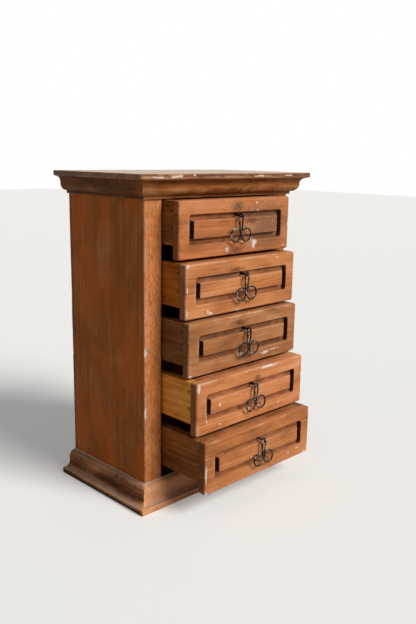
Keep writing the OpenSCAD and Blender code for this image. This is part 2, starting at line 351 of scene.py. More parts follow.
def board(
    node: str, along: Along, arris: float, end_arris: float, seed: int, **more: float
) -> Skin:
    """A plain board in the box of a CAD node, with worn arrises.

    Args:
        node: The CAD node whose box it fills.
        along: Which way its grain runs.
        arris: Radius of the edges along the grain.
        end_arris: Radius of the edges round its ends.
        seed: Chooses its wear and its figure.
        **more: Other fields of Timber.

    Returns:
        The board's surface.
    """
    low, high = (np.array(corner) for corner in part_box(node))
    iu, iv, iw = along.value
    corners = np.array(
        [[low[iu], low[iv]], [high[iu], low[iv]], [high[iu], high[iv]], [low[iu], high[iv]]]
    )
    return Timber(
        corners, np.full(4, arris), low[iw], high[iw], along.axes(), end_arris=end_arris,
        seed=seed, **more,
    ).skin()


CROWN_DEPTH = 0.2 * MM
"""Depth below a turned piece's highest point down to which it is rubbed."""


def lathe(profile: Array, places: Array, axes: Array, count: int = 12) -> Skin:
    """Turns one profile round many axes at once.

    With e1 and e2 square to the axis: place = foot + h axis + r (cos a e1 + sin a e2).

    Args:
        profile: Rows of (r, h), from the point to the crown, both with r = 0, (R, 2).
        places: The feet of the axes, (P, 3).
        axes: Their directions, (P, 3).
        count: Points round each ring.

    Returns:
        All the turned pieces as one surface.
    """
    upright = np.abs(axes[:, 2:]) > 0.5
    e1 = np.cross(axes, np.where(upright, [[1.0, 0.0, 0.0]], [[0.0, 0.0, 1.0]]))
    e1 /= np.linalg.norm(e1, axis=-1, keepdims=True)
    e2 = np.cross(axes, e1)
    turn = np.linspace(0.0, 2.0 * math.pi, count, endpoint=False)
    spoke = np.cos(turn)[None, :, None] * e1[:, None] + np.sin(turn)[None, :, None] * e2[:, None]
    r, h = profile[:, 0], profile[:, 1]
    points = (
        places[:, None, None]
        + h[None, :, None, None] * axes[:, None, None]
        + r[None, :, None, None] * spoke[:, None]
    )
    rings = len(profile)
    faces = [
        face for k in range(len(places)) for face in ring_faces(rings, count, k * rings * count)
    ]
    flat = points.reshape(-1, 3)
    crown = (h > h.max() - CROWN_DEPTH).astype(float)
    wear = np.broadcast_to(crown[None, :, None], points.shape[:3]).ravel()
    return Skin(flat, faces, flat.copy(), wear, np.zeros(len(flat)))


WIRE_END = np.array([0.0, 0.35, 0.65, 0.87, 0.97])
"""Radii of the rings over the rounding of a wire's end, as shares of its own."""
WIRE_UNEVEN = 0.05
"""Share by which a wire's radius departs from its own size."""


def wire(line: Array, normal: Array, radius: float, seed: int, count: int = 14) -> Skin:
    """Round wire along a flat line, with rounded ends.

    With T the line's direction, N the plane's normal and S = N x T, the surface is
    line + r (cos a N + sin a S). At both ends r shrinks as on a ball of the same radius.

    Args:
        line: Points of the centreline, (K, 3).
        normal: Normal of the plane that it lies in.
        radius: Radius of the wire.
        seed: Chooses the hammered unevenness.
        count: Points round each ring.

    Returns:
        The wire's closed surface.
    """
    ends = np.stack([line[0] - line[1], line[-1] - line[-2]])
    outward = ends / np.linalg.norm(ends, axis=-1, keepdims=True) * radius
    beyond = np.sqrt(1.0 - WIRE_END[:, None] ** 2)
    head = line[0] + outward[0] * beyond
    tail = line[-1] + outward[1] * beyond[::-1]
    path = np.concatenate([head, line, tail])
    thick = np.concatenate([WIRE_END, np.ones(len(line)), WIRE_END[::-1]]) * radius
    tangent = np.gradient(path, axis=0)
    tangent /= np.linalg.norm(tangent, axis=-1, keepdims=True)
    sideways = np.cross(normal, tangent)
    travelled = np.concatenate([[0.0], np.cumsum(np.linalg.norm(np.diff(path, axis=0), axis=-1))])
    thick = thick * (1.0 + WIRE_UNEVEN * wander(travelled, 3.0 * MM, seed))
    turn = np.linspace(0.0, 2.0 * math.pi, count, endpoint=False)
    points = path[:, None] + thick[:, None, None] * (
        np.cos(turn)[None, :, None] * normal + np.sin(turn)[None, :, None] * sideways[:, None]
    )
    flat = points.reshape(-1, 3)
    around = radius * np.stack([np.cos(turn), np.sin(turn)], axis=-1)
    grain = np.column_stack([np.repeat(travelled, count), np.tile(around, (len(path), 1))])
    rubbed = np.repeat(0.5 + 0.5 * wander(travelled, 5.0 * MM, seed + 9), count)
    return Skin(flat, ring_faces(len(path), count), grain, rubbed, np.zeros(len(flat)))


def make_piece(
    name: str, skin: Skin, body: str, material: bpy.types.Material, node: str,
    soften: float = 0.0,
) -> None:
    """Turns a surface into one finished piece of the cabinet.

    Doubled points are merged and the faces turned outwards. What the materials read stays
    on the points as the attributes grain, wear, the darkening of hollows and tone, and the
    upward part of each point's normal, which the finishes turn into a settled dusting and
    painted sheen.

    Args:
        name: The piece's name.
        skin: Its surface.
        body: The CAD body that it rides on.
        material: Its finish.
        node: The CAD node that it replaces.
        soften: Width of a last small bevel on edges that are still sharp.
    """
    mesh = bpy.data.meshes.new(name)
    mesh.from_pydata(skin.points.tolist(), [], skin.faces)
    for label, kind, value_name in (
        ("grain", "FLOAT_VECTOR", "vector"), ("wear", "FLOAT", "value"),
        ("grime_and_shade", "FLOAT", "value"), ("tone", "FLOAT", "value"),
    ):
        values = getattr(skin, label).astype(np.float32).ravel()
        mesh.attributes.new(label, kind, "POINT").data.foreach_set(value_name, values)
    work = bmesh.new()
    work.from_mesh(mesh)
    bmesh.ops.remove_doubles(work, verts=work.verts, dist=SAME_PLACE)
    bmesh.ops.dissolve_degenerate(work, edges=work.edges, dist=NO_LENGTH)
    bmesh.ops.recalc_face_normals(work, faces=work.faces)
    work.to_mesh(mesh)
    work.free()
    mesh.polygons.foreach_set("use_smooth", np.ones(len(mesh.polygons), bool))
    mesh.set_sharp_from_angle(angle=SMOOTH_BELOW)
    normals = np.empty(len(mesh.vertices) * 3, np.float32)
    mesh.vertices.foreach_get("normal", normals)
    upward = np.clip(normals[2::3], 0.0, 1.0)
    mesh.attributes.new("dust_and_sheen", "FLOAT", "POINT").data.foreach_set("value", upward)
    mesh.materials.append(material)
    piece = bpy.data.objects.new(name, mesh)
    bpy.context.scene.collection.objects.link(piece)
    if soften:
        bevel = piece.modifiers.new("soften", "BEVEL")
        bevel.width = soften
        bevel.segments = 2
        bevel.limit_method = "ANGLE"
        bevel.angle_limit = BEVEL_ABOVE
    evened = piece.modifiers.new("even_normals", "WEIGHTED_NORMAL")
    evened.weight = 80
    evened.keep_sharp = True
    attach(piece, body)
    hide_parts(node)
    log.info("%s: %d faces, on %s", name, len(mesh.polygons), body)


def dress(node: str, material: bpy.types.Material) -> None:
    """Gives a CAD node that stays visible its finish.

    Args:
        node: The CAD node.
        material: Its finish.
    """
    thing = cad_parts[node]
    if not thing.material_slots:
        thing.data.materials.append(material)
    for slot in thing.material_slots:
        slot.material = material
    log.info("%s: CAD shape, dressed", node)


# ---- Finishes ----


MIX_A, MIX_B, MIXED = 6, 7, 2
"""Numbers of a Mix node's colour sockets: its two inputs and its output."""


class Waves(Enum):
    """Waves of noise to the metre: along, across and through the grain, or on X, Y and Z."""

    DRIFT = (7.0, 16.0, 16.0)
    FIBRE = (22.0, 700.0, 700.0)
    STREAK = (8.0, 210.0, 210.0)
    CLOUD = (16.0, 38.0, 38.0)
    PORE = (130.0, 1000.0, 1000.0)
    FLUSH = (14.0, 30.0, 30.0)
    FLECK = (190.0, 720.0, 720.0)
    SMEAR = (75.0, 75.0, 75.0)
    CHAFE = (210.0, 210.0, 210.0)
    PATCH = (48.0, 48.0, 48.0)
    TORN = (560.0, 560.0, 560.0)
    HAMMERED = (620.0, 620.0, 620.0)
    BRIGHT = (260.0, 260.0, 260.0)
    RUST = (330.0, 330.0, 330.0)
    FLOOR = (3.0, 3.0, 3.0)


class Graph:
    """The node tree of a material or a world, with short calls for the nodes used here."""

    def __init__(self, owner: bpy.types.Material | bpy.types.World) -> None:
        """Empties the owner's tree.

        Args:
            owner: The material or world.
        """
        owner.use_nodes = True
        self.owner = owner
        self.tree = owner.node_tree
        self.tree.nodes.clear()

    def add(self, kind: str, inputs: dict[str | int, object], **settings: object) -> bpy.types.Node:
        """Adds a node.

        Args:
            kind: The node's type, without its ShaderNode.
            inputs: Sockets to link and values to set, by the input's name or number.
            **settings: The node's own properties.

        Returns:
            The node.
        """
        node = self.tree.nodes.new("ShaderNode" + kind)
        for key, value in settings.items():
            setattr(node, key, value)
        for key, value in inputs.items():
            if isinstance(value, Socket):
                self.tree.links.new(value, node.inputs[key])
            else:
                node.inputs[key].default_value = value
        return node

    def attribute(self, name: str, output: str = "Fac") -> Socket:
        """What a piece's points carry under that name."""
        return self.add("Attribute", {}, attribute_name=name).outputs[output]

    def calc(
        self, how: str, a: Socket | float, b: Socket | float = 0.0, c: Socket | float = 0.0
    ) -> Socket:
        """One arithmetic step on two or three numbers."""
        return self.add("Math", {0: a, 1: b, 2: c}, operation=how).outputs[0]

    def weighed(self, start: float, *parts: tuple[Socket, float]) -> Socket:
        """Adds numbers up by their weights.

        Args:
            start: A plain number to start from.
            *parts: Numbers, each with its weight.

        Returns:
            Start plus the sum of number times weight.
        """
        total: Socket | float = start
        for part, weight in parts:
            total = self.calc("MULTIPLY_ADD", part, weight, total)
        return total

    def vector(self, how: str, a: Socket, b: object = None, c: object = None) -> Socket:
        """One arithmetic step on vectors.

        Args:
            how: The step.
            a: First vector.
            b: Second vector, where the step takes one.
            c: Third vector, where the step takes one.

        Returns:
            The vector that it gives, or the number where it measures a length.
        """
        inputs = {key: value for key, value in enumerate((a, b, c)) if value is not None}
        node = self.add("VectorMath", inputs, operation=how)
        return node.outputs["Value" if how == "LENGTH" else "Vector"]

    def noise(self, place: Socket, waves: Waves, detail: float = 3.0, warp: float = 0.0) -> Socket:
        """Smooth noise.

        Args:
            place: Where it is read.
            waves: Its waves to the metre.
            detail: Layers of finer noise on top.
            warp: How far its shapes are bent.

        Returns:
            A number of about 0.3 to 0.7.
        """
        scaled = self.vector("MULTIPLY", place, waves.value)
        inputs = {"Vector": scaled, "Scale": 1.0, "Detail": detail, "Distortion": warp}
        return self.add("TexNoise", inputs).outputs["Fac"]

    def fade(
        self, value: Socket, low: float, high: float, to_low: float = 0.0, to_high: float = 1.0
    ) -> Socket:
        """Eases from one number to another while a value rises.

        Args:
            value: The value that is read.
            low: Where the easing starts.
            high: Where it ends.
            to_low: The number at low and below.
            to_high: The number at high and above.

        Returns:
            The eased number.
        """
        inputs = {
            "Value": value, "From Min": low, "From Max": high, "To Min": to_low, "To Max": to_high,
        }
        return self.add("MapRange", inputs, interpolation_type="SMOOTHSTEP").outputs["Result"]

    def blend(self, share: Socket, a: object, b: object) -> Socket:
        """Mixes two colours, each of them a socket or plain."""
        a, b = (c if isinstance(c, Socket) else (*c, 1.0) for c in (a, b))
        return self.add("Mix", {0: share, MIX_A: a, MIX_B: b}, data_type="RGBA").outputs[MIXED]

    def ramp(self, value: Socket, stops: tuple[tuple[float, Colour], ...]) -> Socket:
        """Colours laid out along a scale.

        Args:
            value: Place on the scale, 0 to 1.
            stops: Places on it in order, each with its colour.

        Returns:
            The colour there.
        """
        node = self.add("ValToRGB", {"Fac": value})
        band = node.color_ramp.elements
        band.remove(band[1])
        band[0].position = stops[0][0]
        for place, _ in stops[1:]:
            band.new(place)
        for stop, (_, colour) in zip(band, stops):
            stop.color = (*colour, 1.0)
        return node.outputs["Color"]

    def seen(self) -> Socket:
        """Tells rays that see a surface from those that it lights.

        Returns:
            1 for rays from the camera, a mirror or glass, and 0 for rays of plain light.
        """
        rays = self.add("LightPath", {}).outputs
        mirrored = self.calc("MAXIMUM", rays["Is Glossy Ray"], rays["Is Transmission Ray"])
        return self.calc("MAXIMUM", rays["Is Camera Ray"], mirrored)

    def surface(
        self, colour: Socket, roughness: Socket, height: Socket, relief: float, **more: object
    ) -> bpy.types.Material:
        """Ends the tree in a shader.

        Args:
            colour: Base colour.
            roughness: Roughness.
            height: Height of the small relief, 0 to 1.
            relief: Depth of that relief in metres.
            **more: Other inputs of the shader, with _ for a space.

        Returns:
            The finished material.
        """
        bump = self.add("Bump", {"Height": height, "Distance": relief, "Strength": 1.0})
        inputs: dict[str | int, object] = {
            "Base Color": colour, "Roughness": roughness, "Normal": bump.outputs["Normal"],
        }
        inputs.update({key.replace("_", " "): value for key, value in more.items()})
        shader = self.add("BsdfPrincipled", inputs)
        self.add("OutputMaterial", {"Surface": shader.outputs["BSDF"]})
        return self.owner


@dataclass(frozen=True)
class Stuff:
    """What marks are made of.

    ends and full are the torn lengths, in half sizes of a mark, at which it ends and
    reaches its strength.
    """

    colour: Colour
    strength: float
    ends: float
    full: float


class MarkKind(Enum):
    """The four stuffs of the old marks."""

    SMUDGE = Stuff((0.13, 0.078, 0.052), 0.70, 2.7, 1.3)
    BARE = Stuff((0.52, 0.33, 0.235), 0.48, 2.20, 1.25)
    PAINT = Stuff((0.74, 0.65, 0.57), 0.95, 2.10, 1.65)
    SOOT = Stuff((0.030, 0.022, 0.018), 0.80, 2.70, 1.00)


@dataclass(frozen=True)
class Mark:
    """An old mark: its middle and its half sizes, where 0 lets it run on along that axis."""

    kind: MarkKind
    middle: Triple
    half: Triple


MarkTable = dict[MarkKind, tuple[tuple[float, float, float, float], ...]]


def face_marks(table: MarkTable, start: Triple, half_y: float = 0.0) -> tuple[Mark, ...]:
    """Marks on a face that looks along Y.

    Args:
        table: Rows of x, z, half width and half height of each kind, in millimetres.
        start: Where x and z are counted from.
        half_y: Half size along Y.

    Returns:
        The marks.
    """
    return tuple(
        Mark(
            kind, (start[0] + x * MM, start[1], start[2] + z * MM),
            (half_w * MM, half_y, half_h * MM),
        )
        for kind, rows in table.items()
        for x, z, half_w, half_h in rows
    )


PITH = (0.0, 0.012, 0.026)
"""From the grain's own zero to the pith, back to front, in metres."""
PITH_ALONG = (0.05, 1.0, 1.0)
"""Weights of the place in the distance to the pith: the growth bands run out slowly."""
SWAY = (0.0, 0.020, -0.016)
"""How far drift bends the grain, in metres."""
BANDS = 420.0
"""Growth bands to the metre."""
TEAR = 2.4
"""Strength of the noise that tears the edges of marks, in half sizes."""


@dataclass(frozen=True)
class WoodFinish:
    """Stained and varnished wood with the wear of long use."""

    name: str
    dark: Colour
    body: Colour
    light: Colour
    bare: Colour = (0.60, 0.34, 0.18)
    # Colour of soiling, also of the painted shade in hollows.
    dirt_and_shade: Colour = (0.022, 0.012, 0.008)
    # Colour of the settled dusting, also the painted sheen, on what faces up.
    dust_and_sheen: Colour = (0.40, 0.29, 0.21)
    figure: float = 0.5
    blotches: float = 0.5
    pores: float = 0.5
    flecks: float = 0.0
    streaks: float = 1.0
    flush: Colour = (0.57, 0.135, 0.014)
    flushed: float = 0.0
    rubbed: float = 0.7
    # How far soiling and painted shade in hollows spread.
    dirt_and_shade_amount: float = 0.15
    # Most share of that dusting and sheen.
    dust_and_sheen_share: float = 0.15
    gloss: float = 0.05
    roughness: float = 0.48
    relief: float = 0.10 * MM

    def material(
        self, label: str = "", along: Along | None = None, marks: tuple[Mark, ...] = ()
    ) -> bpy.types.Material:
        """Builds the material.

        The grain comes from the distance to a pith beside the board: noise along that
        distance gives the growth bands, fine long noise the fibres, short dark dashes the
        pores, and broad noise the uneven stain. Rubbed arrises show barer wood, hollows are
        darkened with soiling and painted shade, and what faces up is paler with a settled
        dusting and painted sheen.

        Args:
            label: Added to the name.
            along: The grain's axis on a CAD node. Without it the grain attribute is read.
            marks: Old marks, placed in the object's own coordinates.

        Returns:
            The material.
        """
        g = Graph(bpy.data.materials.new(self.name + label))
        own = g.add("TexCoord", {}).outputs["Object"]
        place = g.attribute("grain", "Vector") if along is None else self._turned(g, own, along)
        colour, bands, fibre, pores = self._grain(g, place)
        smear = g.noise(own, Waves.SMEAR, 5.0, 0.6)
        chafe = g.noise(own, Waves.CHAFE, 4.0, 0.3)
        # A settled dusting, with painted sheen, on what faces up.
        colour = g.blend(self._dust_and_sheen(g, smear, chafe), colour, self.dust_and_sheen)
        # Soiling, with painted shade in hollows and grooves.
        colour = g.blend(self._soil_and_shade(g, smear), colour, self.dirt_and_shade)
        rub = self._rubbing(g, own, chafe)
        colour = g.blend(g.calc("MULTIPLY", rub, 0.85), colour, self.bare)
        ragged = g.noise(own, Waves.TORN, 5.0, 0.5)
        for kind in MarkKind:
            chosen = [mark for mark in marks if mark.kind is kind]
            if chosen:
                mask = self._mask(g, own, ragged, chosen, kind.value)
                colour = g.blend(mask, colour, kind.value.colour)
        roughness = g.weighed(self.roughness - 0.17, (smear, 0.35), (rub, 0.2))
        height = g.weighed(0.0, (fibre, 0.45), (bands, 0.25), (pores, -0.5), (smear, 0.5))
        return g.surface(colour, roughness, height, self.relief, Specular_IOR_Level=self.gloss)

    @staticmethod
    def _turned(g: Graph, own: Socket, along: Along) -> Socket:
        """Puts Object coordinates in the order along, across and through the grain.

        Args:
            g: The material's tree.
            own: Object coordinates.
            along: Which way the grain runs.

        Returns:
            The place in that order.
        """
        split = g.add("SeparateXYZ", {"Vector": own}).outputs
        u, v, w = along.value
        return g.add("CombineXYZ", {0: split[w], 1: split[u], 2: split[v]}).outputs[0]

    def _dust_and_sheen(self, g: Graph, smear: Socket, chafe: Socket) -> Socket:
        """Share of the settled dusting and painted sheen, from 0.8 of what faces up and 0.3 smear +
        0.5 chafe - 0.15.
        """
        dust_and_sheen = g.weighed(-0.15, (g.attribute("dust_and_sheen"), 0.8), (smear, 0.3), (chafe, 0.5))
        return g.fade(dust_and_sheen, 0.62, 1.15, 0.0, self.dust_and_sheen_share)

    def _soil_and_shade(self, g: Graph, smear: Socket) -> Socket:
        """Share of soiling and painted shade, from 0.55 of the hollows' darkening and 0.38 smear +
        0.085.
        """
        held = g.weighed(0.085, (g.attribute("grime_and_shade"), 0.55), (smear, 0.38))
        return g.fade(held, 0.40 - 0.2 * self.dirt_and_shade_amount, 0.85 - 0.2 * self.dirt_and_shade_amount, 0.0, 0.93)

    def _rubbing(self, g: Graph, own: Socket, chafe: Socket) -> Socket:
        """Rubs worn arrises bare, in patches where 0.5 chafe + 0.9 patch is high.

        Args:
            g: The material's tree.
            own: Object coordinates.
            chafe: Fine noise of rubbing.

        Returns:
            Share of bared wood.
        """
        rub = g.weighed(0.0, (chafe, 0.5), (g.noise(own, Waves.PATCH), 0.9))
        rub = g.fade(rub, 0.98 - 0.5 * self.rubbed, 1.12 - 0.4 * self.rubbed)
        return g.calc("MULTIPLY", rub, g.attribute("wear"))

    def _grain(self, g: Graph, place: Socket) -> tuple[Socket, Socket, Socket, Socket]:
        """The stained wood's figure.

        The tone is 0.5 + the tone attribute + the sum of weight (part - 0.5), over the
        bands, the clouds of stain, the streaks and the fibres. Where the attribute makes
        the wood pale, no flush shows, and dark flecks do.

        Args:
            g: The material's tree.
            place: Place along, across and through the grain.

        Returns:
            The colour, the growth bands, the fibres and the pores.
        """
        curved = g.vector("MULTIPLY_ADD", g.noise(place, Waves.DRIFT, 2.0), SWAY, place)
        spoke = g.vector("MULTIPLY_ADD", curved, PITH_ALONG, PITH)
        turns = g.calc("MULTIPLY", g.vector("LENGTH", spoke), BANDS)
        rings = g.add("TexNoise", {"W": turns, "Scale": 1.0, "Detail": 2.5}, noise_dimensions="1D")
        bands = rings.outputs["Fac"]
        fibre = g.noise(place, Waves.FIBRE)
        streak = g.noise(place, Waves.STREAK, 4.0, 0.4)
        cloud = g.noise(place, Waves.CLOUD, 4.0, 0.5)
        pores = g.fade(g.noise(place, Waves.PORE, 1.0), 0.58, 0.68)
        lift = g.attribute("tone")
        weights = (self.figure * 1.5, self.blotches * 2.2, self.streaks * 1.3, self.streaks * 0.8)
        parts = zip((bands, cloud, streak, fibre), weights)
        tone = g.weighed(0.5 - 0.5 * sum(weights), (lift, 1.0), *parts)
        colour = g.ramp(tone, ((0.04, self.dark), (0.5, self.body), (1.0, self.light)))
        pale = g.fade(lift, 0.1, 0.35)
        if self.flushed:
            patch = g.fade(g.noise(place, Waves.FLUSH, 4.0, 0.7), 0.46, 0.62, 0.0, self.flushed)
            patch = g.calc("MULTIPLY", patch, g.calc("SUBTRACT", 1.0, pale))
            colour = g.blend(patch, colour, self.flush)
        colour = g.blend(g.calc("MULTIPLY", pores, self.pores * 0.8), colour, self.dark)
        if self.flecks:
            fleck = g.fade(g.noise(place, Waves.FLECK, 3.0, 0.8), 0.44, 0.62, 0.0, self.flecks)
            colour = g.blend(g.calc("MULTIPLY", fleck, pale), colour, self.dark)
        return colour, bands, fibre, pores

    @staticmethod
    def _mask(g: Graph, own: Socket, ragged: Socket, marks: list[Mark], stuff: Stuff) -> Socket:
        """How strongly one kind of mark covers each place.

        Each mark is an ellipsoid: the length of (place - middle) / half sizes. The smallest
        of these lengths plus noise is the torn length, which fades the marks out.

        Args:
            g: The material's tree.
            own: The object's own coordinates.
            ragged: Noise that tears the edges.
            marks: The marks, all of one kind.
            stuff: What they are made of.

        Returns:
            The mask, 0 to 1.
        """
        nearest: Socket | None = None
        for mark in marks:
            grow = tuple(1.0 / size if size else 0.0 for size in mark.half)
            back = tuple(-place * scale for place, scale in zip(mark.middle, grow))
            length = g.vector("LENGTH", g.vector("MULTIPLY_ADD", own, grow, back))
            nearest = length if nearest is None else g.calc("MINIMUM", nearest, length)
        torn = g.calc("MULTIPLY_ADD", ragged, TEAR, nearest)
        return g.fade(torn, stuff.ends, stuff.full, 0.0, stuff.strength)


@dataclass(frozen=True)
class IronFinish:
    """Blackened iron that hands have rubbed grey, with a little rust; the grey patches also serve
    as painted highlights.
    """

    name: str
    black: Colour = (0.009, 0.009, 0.0095)
    # Grey of rubbed iron, which on the pulls also stands in for painted highlights.
    rubbed: Colour = (0.34, 0.33, 0.31)
    rust: Colour = (0.045, 0.020, 0.011)
    roughness: float = 0.36
    metallic: float = 0.3
    gloss: float = 0.2
    relief: float = 0.12 * MM

    def material(self) -> bpy.types.Material:
        """Builds the material: patches of rubbed metal, which double as painted highlights, and
        rust over black scale.

        Returns:
            The material.
        """
        g = Graph(bpy.data.materials.new(self.name))
        own = g.add("TexCoord", {}).outputs["Object"]
        hammered = g.noise(own, Waves.HAMMERED)
        patch = g.noise(own, Waves.BRIGHT, 4.0, 0.4)
        rubbed_and_highlight = g.fade(g.weighed(0.0, (g.attribute("wear"), 0.12), (patch, 1.0)), 0.58, 0.70)
        colour = g.blend(rubbed_and_highlight, self.black, self.rubbed)
        rusty = g.fade(g.noise(own, Waves.RUST, 4.0, 0.8), 0.56, 0.66, 0.0, 0.7)
        colour = g.blend(rusty, colour, self.rust)
        roughness = g.weighed(self.roughness - 0.2, (hammered, 0.4))
        return g.surface(
            colour, roughness, hammered, self.relief, Metallic=self.metallic,
            Specular_IOR_Level=self.gloss,
        )


FRONT_WOODS = {
    level: WoodFinish(
        "front_wood", dark, body, light, bare=(0.67, 0.38, 0.21), dust_and_sheen=(0.54, 0.30, 0.17),
        figure=0.30, blotches=0.65, pores=0.3, streaks=0.42, rubbed=rubbed, dirt_and_shade_amount=0.22,
        dust_and_sheen_share=0.25, gloss=0.07,
    )
    for level, dark, body, light, rubbed in (
        (1, (0.27, 0.092, 0.028), (0.54, 0.190, 0.068), (0.68, 0.30, 0.14), 0.55),
        (2, (0.30, 0.105, 0.036), (0.57, 0.210, 0.074), (0.70, 0.33, 0.15), 0.90),
        (3, (0.18, 0.070, 0.024), (0.378, 0.146, 0.053), (0.56, 0.27, 0.125), 0.70),
        (4, (0.28, 0.092, 0.026), (0.62, 0.228, 0.086), (0.76, 0.38, 0.20), 0.70),
        (5, (0.19, 0.064, 0.018), (0.50, 0.177, 0.058), (0.66, 0.30, 0.14), 0.55),
    )
}
"""The drawers' fronts from the top down, no two of one stain."""
BOX_WOODS = {
    level: WoodFinish(
        "box_wood", dark, body, light, bare=(0.55, 0.30, 0.11), dust_and_sheen=(0.34, 0.18, 0.08),
        figure=0.55, blotches=0.8, pores=0.5, streaks=0.8, rubbed=0.75, dirt_and_shade_amount=0.35, dust_and_sheen_share=0.3,
        gloss=0.04,
    )
    for level, dark, body, light in (
        (1, (0.12, 0.045, 0.012), (0.27, 0.100, 0.024), (0.40, 0.16, 0.045)),
        (2, (0.22, 0.068, 0.010), (0.47, 0.146, 0.018), (0.62, 0.23, 0.040)),
        (3, (0.10, 0.042, 0.014), (0.22, 0.085, 0.024), (0.33, 0.14, 0.045)),
        (4, (0.46, 0.165, 0.024), (0.90, 0.370, 0.060), (0.98, 0.52, 0.13)),
        (5, (0.12, 0.044, 0.010), (0.30, 0.100, 0.020), (0.44, 0.18, 0.045)),
    )
}
"""The drawers' sides and backs from the top down."""
CABINET_WOOD = WoodFinish(
    "cabinet_wood", (0.21, 0.064, 0.012), (0.41, 0.119, 0.020), (0.72, 0.275, 0.104),
    bare=(0.50, 0.27, 0.155), dust_and_sheen=(0.36, 0.20, 0.11), figure=0.32, blotches=0.48, pores=0.35,
    flecks=0.50, streaks=0.24, flushed=0.70, rubbed=0.7, dirt_and_shade_amount=0.25,
)
CORNICE_WOOD = WoodFinish(
    "cornice_wood", (0.085, 0.030, 0.008), (0.23, 0.074, 0.018), (0.44, 0.165, 0.050),
    bare=(0.54, 0.26, 0.11), figure=0.40, blotches=0.8, pores=0.5, streaks=0.60, rubbed=0.7,
    dirt_and_shade_amount=0.25,
)
PLINTH_WOOD = WoodFinish(
    "plinth_wood", (0.12, 0.045, 0.016), (0.34, 0.118, 0.040), (0.66, 0.31, 0.150),
    bare=(0.92, 0.43, 0.16), dust_and_sheen=(0.46, 0.35, 0.27), figure=0.50, blotches=0.9, pores=0.5,
    streaks=1.1, rubbed=1.0, dirt_and_shade_amount=0.18, dust_and_sheen_share=0.62,
)
# On the top board's upper face the pale cream is partly faded varnish and partly painted sheen.
TOP_WOOD = WoodFinish(
    "top_wood", (0.10, 0.038, 0.012), (0.32, 0.120, 0.042), (0.52, 0.235, 0.110),
    bare=(0.62, 0.36, 0.20), dust_and_sheen=(0.68, 0.50, 0.33), figure=0.6, blotches=0.7, pores=0.5,
    rubbed=0.8, dirt_and_shade_amount=0.2, dust_and_sheen_share=0.78, gloss=0.2, roughness=0.38,
)
INNER_WOOD = WoodFinish(
    "inner_wood", (0.12, 0.062, 0.030), (0.24, 0.135, 0.068), (0.34, 0.21, 0.11),
    figure=0.6, blotches=0.6, pores=0.5, rubbed=0.0, dirt_and_shade_amount=0.3, roughness=0.65,
)
PANEL_WOOD = WoodFinish(
    "panel_wood", (0.22, 0.11, 0.045), (0.42, 0.235, 0.105), (0.54, 0.34, 0.17),
    bare=(0.55, 0.38, 0.22), figure=0.8, blotches=0.6, pores=0.5, rubbed=0.6, dirt_and_shade_amount=0.3,
    roughness=0.62,
)
PULL_IRON = IronFinish("black_iron")
PIN_IRON = IronFinish(
    "pin_steel", black=(0.012, 0.009, 0.008), rubbed=(0.045, 0.036, 0.030), metallic=0.2,
    roughness=0.68,
)


# ---- The cabinet ----


@dataclass
class Pins:
    """Round panel pins, driven in until their heads all but touch the wood."""

    radius: float = 0.8 * MM
    length: float = 20.0 * MM
    proud: float = 0.12 * MM

    def skin(self, places: Array, axes: Array) -> Skin:
        """All the pins as one surface.

        Args:
            places: Where each goes into the wood, (N, 3).
            axes: Directions straight out of the wood there, (N, 3).

        Returns:
            The surface.
        """
        r, top, tip = self.radius, self.proud, -self.length
        profile = np.array([
            (0.0, tip), (0.5 * r, tip + 1.6 * MM), (r, tip + 3.0 * MM), (r, -0.8 * MM),
            (1.2 * r, -0.2 * MM), (1.25 * r, 0.3 * top), (1.1 * r, 0.8 * top),
            (0.5 * r, top), (0.0, top),
        ])
        return lathe(profile, places, axes)


@dataclass(frozen=True)
class Seat:
    """Where a moulding sits: its heights, and the faces of the cabinet that it goes round."""

    base: float
    top: float
    side_x: float
    face_y: float
    rear_y: float


UPPER_EDGE = slice(5, 7)
"""The corners of a moulding's uppermost outer edge, in the cornice and in the plinth."""


